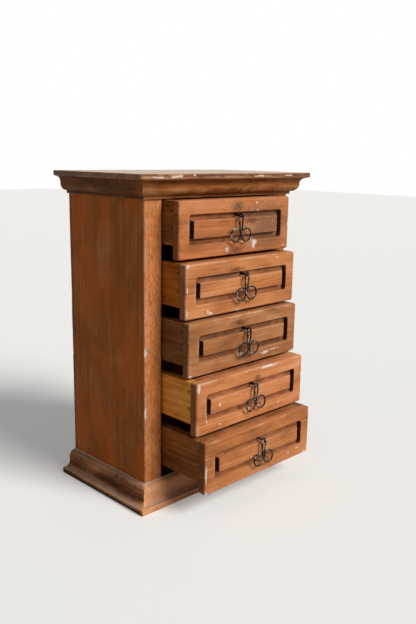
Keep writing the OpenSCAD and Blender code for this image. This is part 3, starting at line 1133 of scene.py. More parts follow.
@dataclass
class Cyma:
    """A moulding with a hollow and a round, mitred where it turns the corner.

    The section is given by its reach from the board and its height. The cornice has its
    narrow edge below, and the plinth has it on top and a square foot below.
    """

    toe: float
    toe_h: float
    round_r: float
    hollow_r: float
    foot_h: float = 0.0
    foot_lip: float = 0.0
    toe_arris: float = 0.5 * MM
    foot_arris: float = 0.7 * MM
    ground_arris: float = 0.4 * MM
    lip_arris: float = 0.3 * MM
    top_edge: float = 0.5 * MM
    hollow_short: float = 0.35 * MM
    mitre_gap: float = 0.06 * MM
    # The hollow, the front length and the foot of the side lengths are darkened with painted shade
    # and some soiling.
    hollow_shade_and_dirt: Triple = (0.1, 0.35, 0.2)
    sheltered: float = 0.3
    front_shade_and_dirt: float = 1.0
    foot_shade_and_dirt: float = 0.0
    foot_shade_rise: float = 0.6
    mitre_wear: float = 0.0
    edge_wear: float = 0.9
    side_wear: float = 0.3
    # Painted light: the front length is made paler as the face turned to the light, and the side
    # lengths darker as the faces in shade.
    front_painted_light: float = 0.0
    side_painted_shade: float = 0.0

    def section(self, h: float) -> tuple[Array, Array, int, int]:
        """The moulding's section.

        Args:
            h: Height of the moulding.

        Returns:
            Corners (C, 2), their radii (C,), and which corner is the hollow and which the
            round.
        """
        wide = self.toe + self.round_r
        if self.foot_h:
            reach = wide + self.hollow_r + self.foot_lip
            neck = h - self.toe_h
            corners = [
                (0, 0), (reach, 0), (reach, self.foot_h), (wide, self.foot_h), (wide, neck),
                (self.toe, neck), (self.toe, h), (0, h),
            ]
            radii = [
                0, self.ground_arris, self.foot_arris, self.hollow_r, self.round_r, 0,
                self.toe_arris, 0,
            ]
            hollow, bulge = 3, 4
        else:
            reach = wide + self.hollow_r
            lip = h - self.top_edge
            corners = [
                (0, 0), (self.toe, 0), (self.toe, self.toe_h), (wide, self.toe_h), (wide, lip),
                (reach, lip), (reach, h), (0, h),
            ]
            radii = [
                0, self.toe_arris, 0, self.round_r, self.hollow_r - self.hollow_short,
                self.lip_arris, 0, 0,
            ]
            hollow, bulge = 4, 3
        return np.array(corners, float), np.array(radii, float), hollow, bulge

    def front(self, seat: Seat, seed: int) -> Skin:
        """The length across the front, mitred at both ends.

        Args:
            seat: Where the moulding sits.
            seed: Chooses its wear and its figure.

        Returns:
            The length's surface.
        """
        axes = np.array([[0.0, -1.0, 0.0], [0.0, 0.0, 1.0], [-1.0, 0.0, 0.0]])
        origin = (0.0, seat.face_y, seat.base)
        reach = seat.side_x - self.mitre_gap
        skin = self._carried(seat, axes, origin, (-reach, reach), (-1.0, 1.0), 1.0, seed)
        # Painted light: paler along the front, which keeps less of the hollow's painted shade.
        skin.tone = skin.tone + self.front_painted_light
        skin.grime_and_shade = skin.grime_and_shade * self.front_shade_and_dirt
        return skin

    def side(self, seat: Seat, hand: float, seed: int) -> Skin:
        """The length along one side, mitred at the front.

        Args:
            seat: Where the moulding sits.
            hand: -1 on the left and 1 on the right.
            seed: Chooses its wear and its figure.

        Returns:
            The length's surface.
        """
        axes = np.array([[hand, 0.0, 0.0], [0.0, 0.0, 1.0], [0.0, -hand, 0.0]])
        origin = (hand * seat.side_x, 0.0, seat.base)
        near = seat.face_y + self.mitre_gap
        span = (near, seat.rear_y) if hand < 0.0 else (-seat.rear_y, -near)
        mitres = (-1.0, 0.0) if hand < 0.0 else (0.0, 1.0)
        skin = self._carried(seat, axes, origin, span, mitres, self.side_wear, seed)
        # Painted shade: darker along the side.
        skin.tone = skin.tone + self.side_painted_shade
        # Painted shade with some soiling on the lower part of the foot's outer face.
        shoulder = seat.side_x + self.toe + self.round_r + self.hollow_r
        on_foot = np.abs(skin.points[:, 0]) > shoulder
        low = skin.points[:, 2] < seat.base + self.foot_shade_rise * self.foot_h
        skin.grime_and_shade = np.maximum(skin.grime_and_shade, self.foot_shade_and_dirt * (on_foot & low))
        return skin

    def _carried(
        self, seat: Seat, axes: Array, origin: Triple, span: tuple[float, float],
        mitres: tuple[float, float], round_wear: float, seed: int,
    ) -> Skin:
        """Carries the section along, darkens its hollow with painted shade and some soiling, and
        wears its round and its mitres.

        Args:
            seat: Where the moulding sits.
            axes: Directions outwards, upwards and along.
            origin: The section's zero.
            span: Start and end along the moulding.
            mitres: Slopes of the cuts at the start and the end.
            round_wear: Share of the wear that the round keeps.
            seed: Chooses its wear and its figure.

        Returns:
            The length's surface.
        """
        corners, radii, hollow, bulge = self.section(seat.top - seat.base)
        timber = Timber(
            corners, radii, *span, axes, np.array(origin), *mitres, pace=5.0 * MM, steps=9,
            margin=1.0 * MM, rough=0.0, seed=seed,
        )
        skin = timber.skin()
        arc_points = timber.steps + 1
        deep = np.zeros((len(corners), arc_points + RUN_POINTS))
        over_arc = np.linspace(0.0, 1.0, arc_points)
        deep[hollow, :arc_points] = np.interp(over_arc, (0.0, 0.5, 1.0), self.hollow_shade_and_dirt)
        rings = len(skin.wear) // deep.size
        skin.grime_and_shade = np.tile(deep.ravel(), rings)
        kept = np.ones_like(deep)
        kept[bulge, :arc_points] = round_wear
        edges = np.zeros_like(deep)
        edges[UPPER_EDGE] = self.edge_wear * math.sqrt(round_wear)
        worn = np.maximum(skin.wear.reshape(rings, -1) * kept.ravel(), edges.ravel())
        at_mitre = np.zeros((rings, 1))
        at_mitre[[0, -1], 0] = np.abs(mitres)
        exposed = (deep < self.sheltered).ravel()
        skin.wear = np.maximum(worn, self.mitre_wear * at_mitre * exposed).ravel()
        return skin


STILE_MARKS: MarkTable = {
    MarkKind.PAINT: ((-108.3, 168.5, 1.9, 6.5), (-108.4, 103.0, 1.9, 8.5)),
    MarkKind.BARE: (
        (-107.0, 172.0, 3.0, 14.0), (-107.4, 212.0, 2.6, 20.0), (-108.0, 268.0, 3.0, 24.0),
        (-106.0, 300.0, 3.2, 9.0), (-108.3, 112.0, 2.2, 40.0), (107.6, 140.0, 2.6, 40.0),
    ),
}
"""Old marks on the front edges of the side boards, from the middle of the cabinet's foot."""
TOP_EDGE_MARKS: MarkTable = {
    MarkKind.PAINT: (
        (-111.5, 2.4, 4.5, 0.9), (-104.0, 2.0, 6.5, 0.9), (-86.5, 2.4, 8.0, 1.3),
        (-79.0, 3.2, 5.0, 1.3), (-60.0, 3.8, 2.4, 1.4), (33.0, 2.3, 5.5, 0.8),
        (41.0, 2.7, 7.0, 1.3), (89.0, 2.7, 10.0, 0.9),
    ),
    MarkKind.BARE: (
        (-123.0, 2.4, 9.0, 2.8), (-107.0, 2.1, 17.0, 2.4), (-83.0, 2.7, 17.0, 3.0),
        (-14.0, 2.1, 40.0, 1.6), (52.0, 2.1, 34.0, 1.4),
    ),
    MarkKind.SOOT: (
        (-121.0, 4.2, 6.0, 1.2), (-112.0, 4.0, 5.0, 1.5), (-97.0, 3.7, 5.0, 1.5),
        (-92.5, 2.3, 2.5, 1.2), (-72.0, 2.9, 4.0, 1.8), (-50.0, 2.1, 4.0, 1.5),
        (-36.0, 3.5, 4.0, 1.3), (-20.0, 2.5, 5.0, 1.4), (8.0, 3.5, 5.0, 1.5),
        (62.0, 3.1, 5.0, 1.3), (100.0, 3.1, 6.0, 1.4),
    ),
}
"""Old marks on the front edge of the top board, from the middle of its underside."""


@dataclass
class Carcass:
    """The fixed body: side boards, mouldings, top board, back panel and what is inside."""

    stile_arris: float = 1.5 * MM
    inner_arris: float = 0.9 * MM
    rebate_arrises: Triple = (0.2 * MM, 0.1 * MM, 0.3 * MM)
    rear_arris: float = 0.9 * MM
    stile_depth: float = 0.6 * MM
    # How much paler the front edges are: partly their own colour and partly painted light.
    stile_pale_and_lit: float = 0.40
    mark_depth: float = 2.2 * MM
    cornice: Cyma = field(
        default_factory=lambda: Cyma(
            2.5 * MM, 3.2 * MM, 8.0 * MM, 6.7 * MM, hollow_shade_and_dirt=(0.1, 0.35, 0.25),
            front_painted_light=0.20, side_painted_shade=-0.22,
        )
    )
    plinth: Cyma = field(
        default_factory=lambda: Cyma(
            0.5 * MM, 0.6 * MM, 7.7 * MM, 6.5 * MM, 6.2 * MM, 2.8 * MM, toe_arris=0.2 * MM,
            hollow_shade_and_dirt=(0.0, 0.1, 0.65), front_shade_and_dirt=0.2, foot_shade_and_dirt=0.95, mitre_wear=0.9,
            front_painted_light=0.50, side_painted_shade=-0.04,
        )
    )
    ledge_narrow: float = 2.0 * MM
    ledge_high: float = 1.2 * MM
    top_arris: float = 0.8 * MM
    top_rim: float = 0.9 * MM
    top_end_tone: float = -0.30
    top_edge_tone: float = 0.02
    top_mark_depth: float = 2.0 * MM
    panel_arris: float = 0.4 * MM
    back_pin_inset: float = 30.0 * MM

    def build(self) -> None:
        """Makes the carcass's pieces and dresses the CAD parts that stay."""
        self._side_boards()
        self._mouldings()
        self._top_board()
        self._back_panel()
        for node in ("carcass_top", "carcass_bottom"):
            dress(node, INNER_WOOD.material("_" + node, Along.X))
        strips = INNER_WOOD.material("_runners", Along.Y)
        for level in DRAWERS:
            dress(f"runners_{level}", strips)
        dress("runner_pins", PIN_IRON.material())

    def _side_boards(self) -> None:
        """The side boards, rebated behind for the back panel.

        Both outlines run anticlockwise, so the right board, which mirrors the left one,
        has its corners and arrises in reverse order.
        """
        panel_low, panel_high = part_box("back_panel")
        arrises = [self.stile_arris, self.inner_arris, *self.rebate_arrises, self.rear_arris]
        finish = CABINET_WOOD.material("_sides", marks=self._side_marks())
        for hand, node in ((-1, "side_left"), (1, "side_right")):
            low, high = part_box(node)
            outer, inner = (low.x, high.x) if hand < 0 else (high.x, low.x)
            rebate = panel_low.x if hand < 0 else panel_high.x
            corners = [
                (outer, low.y), (inner, low.y), (inner, panel_low.y), (rebate, panel_low.y),
                (rebate, high.y), (outer, high.y),
            ]
            skin = Timber(
                np.array(corners[::-hand]), np.array(arrises[::-hand]), low.z, high.z,
                Along.Z.axes(), end_arris=0.3 * MM, seed=3 + hand,
            ).skin()
            # The front edges are made paler: partly the edges' own colour and partly painted light
            # on the faces turned to the light.
            on_stile = skin.points[:, 1] < low.y + self.stile_depth
            skin.tone = np.where(on_stile, self.stile_pale_and_lit, 0.0)
            make_piece(node + "_board", skin, "carcass", finish, node)

    def _side_marks(self) -> tuple[Mark, ...]:
        """Old marks on the side boards.

        Returns:
            Paint and worn wood on the front edges, and a dark line down the rear arrises.
        """
        low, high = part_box("side_left")
        rear = tuple(
            Mark(MarkKind.SOOT, (hand * low.x, high.y, 0.0), (1.5 * MM, 4.0 * MM, 0.0))
            for hand in (-1, 1)
        )
        return face_marks(STILE_MARKS, (0.0, low.y, 0.0), self.mark_depth) + rear

    def _mouldings(self) -> None:
        """The cornice and the plinth, three lengths each."""
        low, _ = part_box("side_left")
        _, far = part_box("side_right")
        seed = 11
        for name, cyma, wood in (
            ("cornice", self.cornice, CORNICE_WOOD), ("plinth", self.plinth, PLINTH_WOOD),
        ):
            bottom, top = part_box(name + "_front")
            seat = Seat(bottom.z, top.z, far.x, low.y, far.y)
            finish = wood.material(marks=self._ledge_marks(seat) if cyma.foot_h else ())
            for part, hand in (("front", 0), ("left", -1), ("right", 1)):
                seed += 1
                skin = cyma.side(seat, hand, seed) if hand else cyma.front(seat, seed)
                node = f"{name}_{part}"
                make_piece(node + "_moulding", skin, "carcass", finish, node)

    def _ledge_marks(self, seat: Seat) -> tuple[Mark, ...]:
        """Old paint along a moulding's top edge.

        Args:
            seat: Where the moulding sits.

        Returns:
            A mark for the left side, one for the right side and one for the front.
        """
        narrow, high = self.ledge_narrow, self.ledge_high
        return (
            Mark(MarkKind.PAINT, (-seat.side_x, 0.0, seat.top), (narrow, 0.0, high)),
            Mark(MarkKind.PAINT, (seat.side_x, 0.0, seat.top), (narrow, 0.0, high)),
            Mark(MarkKind.PAINT, (0.0, seat.face_y, seat.top), (0.0, narrow, high)),
        )

    def _top_board(self) -> None:
        """The thin top board with its chipped edge."""
        skin = board(
            "top_board", Along.X, self.top_arris, self.top_arris, 5, pace=3.0 * MM, rough=0.55
        )
        low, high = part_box("top_board")
        x, y = skin.points[:, 0], skin.points[:, 1]
        on_end = np.minimum(x - low.x, high.x - x) < self.top_rim
        on_edge = y - low.y < self.top_rim
        skin.tone = np.select([on_end, on_edge], [self.top_end_tone, self.top_edge_tone])
        marks = face_marks(TOP_EDGE_MARKS, (0.0, low.y, low.z), self.top_mark_depth)
        finish = TOP_WOOD.material(marks=marks)
        make_piece("top_board_plank", skin, "carcass", finish, "top_board")

    def _back_panel(self) -> None:
        """The back panel and the pins that hold it."""
        skin = board("back_panel", Along.Z, self.panel_arris, self.panel_arris, 6)
        finish = PANEL_WOOD.material("_back")
        make_piece("back_panel_sheet", skin, "carcass", finish, "back_panel")
        pins = Pins()
        low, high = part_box("back_pins")
        inner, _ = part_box("side_right")
        _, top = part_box("side_left")
        side_x = high.x - pins.radius
        side_z = (self.back_pin_inset, top.z / 2.0, top.z - self.back_pin_inset)
        end_x = inner.x - self.back_pin_inset
        end_z = (low.z + pins.radius, high.z - pins.radius)
        rows = [(x, z) for x in (-side_x, side_x) for z in side_z]
        rows += [(x, z) for x in (-end_x, 0.0, end_x) for z in end_z]
        places = np.array([(x, high.y, z) for x, z in rows])
        heads = pins.skin(places, np.tile([0.0, 1.0, 0.0], (len(places), 1)))
        finish = PIN_IRON.material()
        make_piece("back_pin_heads", heads, "carcass", finish, "back_pins")


FRONT_SHIFT = np.array([0.37, 0.23, 0.05])
"""How far the figure of a drawer's front is moved for each step of its seed."""


@dataclass
class FrontShape:
    """The routed front of a drawer: a profile of inset and depth carried round a rectangle."""

    lip: float = 9.0 * MM
    arris: float = 2.2 * MM
    corner: float = 2.4 * MM
    margin: float = 14.0 * MM
    groove_w: float = 6.35 * MM
    groove_d: float = 5.5 * MM
    groove_arris: float = 0.8 * MM
    panel_arris: float = 1.1 * MM
    cutter: float = 3.2 * MM
    wall_foot: float = 0.6 * MM
    arris_bite: float = 0.45 * MM
    groove_bite: float = 0.14 * MM
    # Painted shade with some soiling on the back of the front and its rebates.
    back_shade_and_dirt: float = 0.4
    end_tone: float = -0.50
    long_steps: int = 84
    short_steps: int = 26
    corner_steps: int = 6

    def profile(self) -> dict[str, Array]:
        """Rows from the lip's back to the middle of the raised panel.

        Returns:
            Arrays of inset, depth, corner radius, wear, dirt all round and dirt on the
            upright stretches alone, for each loop: both darken with soiling and painted shade,
            the upright one mostly painted shade on the groove's upright walls.
        """
        a, m, ga, pa = self.arris, self.margin, self.groove_arris, self.panel_arris
        deep, foot, cutter = self.groove_d, self.wall_foot, self.cutter
        inner = m + self.groove_w
        tight = 0.7 * MM
        quarter = np.radians(np.linspace(0.0, 90.0, 7))
        small = np.radians(np.linspace(0.0, 90.0, 5))
        sin, cos = np.sin, np.cos

        def rows(*columns: object) -> Array:
            """Rows whose columns are numbers or arrays of one length."""
            return np.stack(np.broadcast_arrays(*columns), axis=-1).reshape(-1, 6)

        # Fifth column: soiling and painted shade all round the loop; sixth: painted shade, with
        # some soiling, on the upright stretches only.
        table = np.concatenate([
            rows(0.0, self.lip, self.corner, 0.15, 0.2, 0.0),
            rows(0.0, (self.lip + a) / 2.0, self.corner, 0.1, 0.0, 0.0),
            rows(
                a - a * cos(quarter), a - a * sin(quarter),
                np.maximum(self.corner - a + a * cos(quarter), 0.25 * MM),
                sin(1.8 * quarter + 0.15), 0.0, 0.0,
            ),
            rows(a + 2.5 * MM, 0.0, 0.25 * MM, 0.0, 0.0, 0.0),
            rows(m - ga - 2.5 * MM, 0.0, cutter + 3.0 * MM, 0.0, 0.0, 0.0),
            rows(
                m - ga + ga * sin(small), ga - ga * cos(small), cutter + ga - ga * sin(small),
                0.8 * sin(2.0 * small), 0.12 * sin(small), 0.6 * sin(small) ** 2,
            ),
            rows(m, deep - foot, cutter, 0.0, 0.40, 0.60),
            rows(m + foot * 0.3, deep - foot * 0.3, cutter, 0.0, 0.55, 0.40),
            rows(m + foot, deep, cutter - foot, 0.0, 0.60, 0.0),
            rows((m + inner) / 2.0, deep, 2.0 * MM, 0.0, 0.42, 0.0),
            rows(inner - foot, deep, 1.2 * MM, 0.0, 0.60, 0.2),
            rows(inner - foot * 0.3, deep - foot * 0.3, 0.8 * MM, 0.0, 0.55, 0.45),
            rows(inner, deep - foot, tight, 0.0, 0.40, 0.60),
            rows(inner, (deep + pa) / 2.0, tight, 0.0, 0.20, 0.80),
            rows(
                inner + pa - pa * cos(small), pa - pa * sin(small), tight,
                0.85 * sin(2.0 * small), 0.08 * cos(small), 0.85 * cos(small) ** 3,
            ),
            rows(inner + pa + 2.0 * MM, 0.0, 0.4 * MM, 0.0, 0.0, 0.0),
        ])
        return dict(zip(("inset", "depth", "corner", "wear", "dirt_and_shade", "upright_shade_and_dirt"), table.T))

    def _loop(self, half_w: Array, half_h: Array, corner: Array) -> tuple[Array, Array]:
        """Rounded rectangles, anticlockwise from the lower right.

        Args:
            half_w: Half widths, (L,).
            half_h: Half heights, (L,).
            corner: Corner radii, (L,).

        Returns:
            Points (L, J, 2) and outward directions (J, 2).
        """
        long_side = np.linspace(-1.0, 1.0, self.long_steps)
        short_side = np.linspace(-1.0, 1.0, self.short_steps)
        bends = np.radians(np.linspace(0.0, 90.0, self.corner_steps + 2)[1:-1])
        parts, outs = [], []
        sides = (short_side, long_side[::-1], short_side[::-1], long_side)
        for quarter, straight in enumerate(sides):
            angle = quarter * math.pi / 2.0
            out = np.array([math.cos(angle), math.sin(angle)])
            across = np.array([0.0, 1.0]) if quarter % 2 == 0 else np.array([1.0, 0.0])
            core = np.stack([half_w - corner, half_h - corner], axis=-1)
            along = out + straight[:, None] * across
            parts.append(core[:, None, :] * along[None] + corner[:, None, None] * out)
            outs.append(np.broadcast_to(out, (len(straight), 2)))
            spokes = np.stack([np.cos(angle + bends), np.sin(angle + bends)], axis=-1)
            centre = core * (out + across * (1 if quarter in (0, 3) else -1))
            parts.append(centre[:, None, :] + corner[:, None, None] * spokes[None])
            outs.append(spokes)
        return np.concatenate(parts, axis=1), np.concatenate(outs)

    def skin(self, low: Array, high: Array, inner_x: float, seed: int) -> Skin:
        """The whole front as one closed surface.

        Every row of the profile is a rounded rectangle at its own inset and depth. Behind
        the lip the same outline has its x held within the sides' inner faces, which makes
        the rebates at both ends.

        Args:
            low: Lowest corner of the front's box.
            high: Highest corner.
            inner_x: Half the distance between the drawer's sides.
            seed: Chooses the wear and the figure.

        Returns:
            The surface.
        """
        rows = self.profile()
        half_w, half_h = (high[0] - low[0]) / 2.0, (high[2] - low[2]) / 2.0
        loops, out = self._loop(half_w - rows["inset"], half_h - rows["inset"], rows["corner"])
        outline = loops[0]
        strides = np.linalg.norm(np.diff(outline, axis=0), axis=-1)
        travelled = np.concatenate([[0.0], np.cumsum(strides)])
        bite = self._bite(rows, travelled, seed)
        held = np.stack([np.clip(outline[:, 0], -inner_x, inner_x), outline[:, 1]], axis=-1)
        loops = np.concatenate([[held, held], loops - out[None] * bite[..., None]])
        rings, count = loops.shape[:2]
        behind = np.repeat([[high[1] - low[1]], [self.lip]], count, axis=1)
        depth = np.concatenate([behind, rows["depth"][:, None] + bite * 0.7])
        centre_z = (low[2] + high[2]) / 2.0
        points = np.stack([loops[..., 0], low[1] + depth, centre_z + loops[..., 1]], axis=-1)
        faces = ring_faces(rings, count)
        faces.append(list(range(count)))
        faces.append(list(range((rings - 1) * count, rings * count)))
        grain = np.stack([points[..., 0], loops[..., 1], depth], axis=-1) + FRONT_SHIFT * seed
        wear = np.concatenate([[0.0, 0.0], rows["wear"]])[:, None]
        wear = wear * (0.8 + 0.2 * wander(travelled, 11.0 * MM, seed + 5))[None, :]
        upright = np.abs(out[:, 0])[None, :]
        # Painted shade with soiling: behind the lip, in the groove, and most on the groove's
        # upright walls.
        back = [self.back_shade_and_dirt] * 2
        dirt_and_shade, more = (np.concatenate([back, rows[key]]) for key in ("dirt_and_shade", "upright_shade_and_dirt"))
        grime_and_shade = dirt_and_shade[:, None] + more[:, None] * upright
        on_rim = (rows["depth"] > 0.6 * self.arris) & (rows["inset"] < TINY)
        tone = self.end_tone * np.concatenate([[1.0, 1.0], on_rim])[:, None] * upright
        return Skin(
            points.reshape(-1, 3), faces, grain.reshape(-1, 3), np.clip(wear, 0, 1).ravel(),
            np.clip(grime_and_shade, 0, 1).ravel(), tone.ravel(),
        )

    def _bite(self, rows: dict[str, Array], travelled: Array, seed: int) -> Array:
        """How deep wear has eaten in.

        Args:
            rows: The profile.
            travelled: Distance round the outline, (J,).
            seed: Chooses the wear.

        Returns:
            Depth of the wear, (L, J): knocks on the outer arris, and a slight ripple on
            the groove's two.
        """
        on_arris = rows["inset"] < self.arris + 0.1 * MM
        on_groove = rows["inset"] > self.margin - 1.0 * MM
        slow = wander(travelled, 15.0 * MM, seed)
        dents = nicks(travelled, 5.0 * MM, seed + 1)
        knocks = np.clip(0.35 * slow + 0.9 * dents, 0.0, 1.0)
        ripple = np.abs(wander(travelled, 7.0 * MM, seed + 2))
        return rows["wear"][:, None] * (
            self.arris_bite * on_arris[:, None] * knocks
            + self.groove_bite * on_groove[:, None] * ripple
        )


@dataclass
class PullEye:
    """A split pin of wire: a ring outside the front, and two legs turned flat inside."""

    drop: float = 17.175 * MM
    reach: float = 4.6 * MM
    ring_r: float = 2.0 * MM
    wire_r: float = 0.75 * MM
    leg_gap: float = 0.70 * MM
    neck_r: float = 0.9 * MM
    bend_r: float = 0.85 * MM
    leg_len: float = 7.0 * MM
    bend_points: int = 7
    ring_points: int = 44

    def skin(self, face_y: float, top_z: float, thick: float, seed: int) -> Skin:
        """The eye's wire.

        The line lies in the plane x = 0. From the upper leg's end it turns down the bend,
        runs out through the front, swings up the small neck onto the ring, goes round, and
        comes back the same way mirrored.

        Args:
            face_y: The front's outer face.
            top_z: The front's top.
            thick: The front's thickness.
            seed: Chooses the unevenness.

        Returns:
            The surface.
        """
        inside = self.reach + thick
        neck_z = self.leg_gap + self.neck_r
        neck_y = math.sqrt((self.ring_r + self.neck_r) ** 2 - neck_z**2)
        lean = math.degrees(math.atan2(neck_z, neck_y))
        tip = (inside + self.bend_r, self.leg_gap + self.bend_r + self.leg_len)
        heel = (inside, self.leg_gap + self.bend_r)
        bend = arc(heel, self.bend_r, 0.0, -90.0, self.bend_points)
        neck = arc((neck_y, neck_z), self.neck_r, -90.0, lean - 180.0, self.bend_points)
        upper = np.concatenate([np.linspace(tip, bend[0], 5)[:-1], bend, neck])
        ring = arc((0.0, 0.0), self.ring_r, lean, 360.0 - lean, self.ring_points)[1:-1]
        line = np.concatenate([upper, ring, upper[::-1] * [1.0, -1.0]])
        centre_y, centre_z = face_y - self.reach, top_z - self.drop
        places = np.column_stack(
            [np.zeros(len(line)), centre_y + line[:, 0], centre_z + line[:, 1]]
        )
        return wire(places, np.array([1.0, 0.0, 0.0]), self.wire_r, seed)


@dataclass
class RingPull:
    """The hanging pull: one wire with two straight legs and a ring at each end."""

    below_eye: float = 0.15 * MM
    wire_r: float = 0.9 * MM
    bar: float = 0.25 * MM
    bend_r: float = 2.5 * MM
    leg_len: float = 17.5 * MM
    lean: float = 5.4
    ring_r: float = 7.0 * MM
    ring_turn: float = 311.0
    bend_points: int = 8
    leg_points: int = 12
    ring_points: int = 46

    def build(
        self, level: int, eye: PullEye, face_y: float, top_z: float, finish: bpy.types.Material
    ) -> None:
        """Makes the pull of one drawer.

        Half of the line is drawn upright in its own plane, as bend, leg and ring, and then
        leant in by turning it about the bend's centre. The other half is its mirror image.

        Args:
            level: The drawer's number from the top.
            eye: The eye that it hangs in.
            face_y: The front's outer face.
            top_z: The front's top.
            finish: Its iron.
        """
        bend = arc((0.0, 0.0), self.bend_r, 90.0 + self.lean, 0.0, self.bend_points)
        centre = (self.bend_r + self.ring_r, -self.leg_len)
        ring = arc(centre, self.ring_r, 180.0, 180.0 + self.ring_turn, self.ring_points)
        leg = np.linspace(bend[-1], ring[0], self.leg_points)[1:-1]
        half = np.concatenate([bend, leg, ring])
        turn = math.radians(self.lean)
        lean = np.array([[math.cos(turn), -math.sin(turn)], [math.sin(turn), math.cos(turn)]])
        half = half @ lean + [self.bar, -self.bend_r]
        line = np.concatenate([(half * [-1.0, 1.0])[::-1], half])
        y = face_y - eye.reach
        z = top_z - eye.drop - self.below_eye
        places = np.column_stack([line[:, 0], np.full(len(line), y), z + line[:, 1]])
        skin = wire(places, np.array([0.0, 1.0, 0.0]), self.wire_r, 60 + level)
        name = f"ring_pull_{level}"
        make_piece(name + "_wire", skin, f"pull_{level}", finish, name)


# The SOOT rows round and under each pull are partly soiling from hands and partly painted shadow of
# the pull; the BARE row near x 13 mm on each front, along the groove's left edge, is partly wear
# and partly a painted highlight on that arris.
FRONT_MARKS: dict[int, MarkTable] = {
    1: {
        MarkKind.PAINT: (
            (114.2, -4.8, 2.5, 1.6), (106.4, -12.9, 1.0, 0.7), (116.3, -13.3, 1.8, 0.8),
            (111.3, -47.4, 5.8, 3.8), (110.6, -52.0, 3.4, 3.6), (68.6, -53.0, 3.2, 3.8),
            (151.6, -6.9, 0.9, 0.9), (161.0, -54.6, 2.6, 0.9), (141.0, -27.0, 0.8, 0.6),
        ),
        MarkKind.BARE: ((12.9, -27.0, 2.4, 14.0),),
        MarkKind.SOOT: (
            (84.0, -8.0, 10.0, 7.0), (82.7, -54.0, 14.0, 5.0), (106.0, -24.0, 10.0, 3.0),
        ),
        MarkKind.SMUDGE: ((130.0, -30.0, 36.0, 26.0),),
    },
    2: {
        MarkKind.PAINT: (
            (2.5, -2.2, 2.2, 2.4), (2.0, -26.0, 1.3, 4.0), (1.5, -50.0, 1.2, 6.5),
            (34.8, -53.2, 5.0, 1.5), (31.0, -50.6, 1.2, 2.6), (76.0, -55.2, 6.0, 0.9),
            (139.0, -3.8, 4.0, 0.8),
        ),
        MarkKind.BARE: ((12.9, -30.0, 2.4, 13.0),),
        MarkKind.SOOT: ((72.0, -11.0, 12.0, 3.0),),
        MarkKind.SMUDGE: ((55.0, -17.0, 30.0, 3.0),),
    },
    3: {
        MarkKind.PAINT: (
            (117.6, -49.2, 7.5, 2.3), (133.0, -47.6, 9.0, 0.8), (2.2, -54.5, 2.2, 2.0),
            (165.0, -54.8, 3.2, 1.4),
        ),
        MarkKind.BARE: ((55.9, -7.4, 5.0, 1.6), (12.9, -26.0, 2.6, 15.0)),
        MarkKind.SOOT: ((74.5, -8.5, 10.0, 4.0), (84.0, -47.0, 16.0, 5.0)),
    },
    4: {
        MarkKind.PAINT: (
            (111.0, -1.8, 19.0, 1.7), (2.6, -5.4, 2.1, 5.6), (33.3, -28.9, 1.6, 3.4),
            (32.1, -38.6, 1.1, 1.6), (14.0, -37.0, 1.3, 9.0), (33.9, -50.1, 2.2, 1.4),
            (128.6, -48.4, 1.2, 2.0), (31.5, -14.6, 2.2, 0.7),
        ),
        MarkKind.BARE: ((12.9, -28.0, 2.6, 15.0),),
        MarkKind.SOOT: ((92.0, -11.0, 5.0, 4.0),),
    },
    5: {
        MarkKind.PAINT: (
            (168.5, -4.5, 1.8, 3.2), (1.6, -54.6, 1.7, 2.6), (163.0, -54.8, 6.0, 1.4),
            (70.6, -33.9, 0.9, 1.2), (19.5, -15.0, 3.0, 0.7), (134.0, -47.5, 3.0, 0.9),
            (1.4, -34.0, 1.1, 12.0), (150.0, -46.0, 5.0, 1.1), (168.6, -50.0, 2.0, 4.0),
        ),
        MarkKind.BARE: ((12.9, -26.0, 2.2, 13.0),),
    },
}
"""Old marks on each drawer's front, from its upper left corner."""


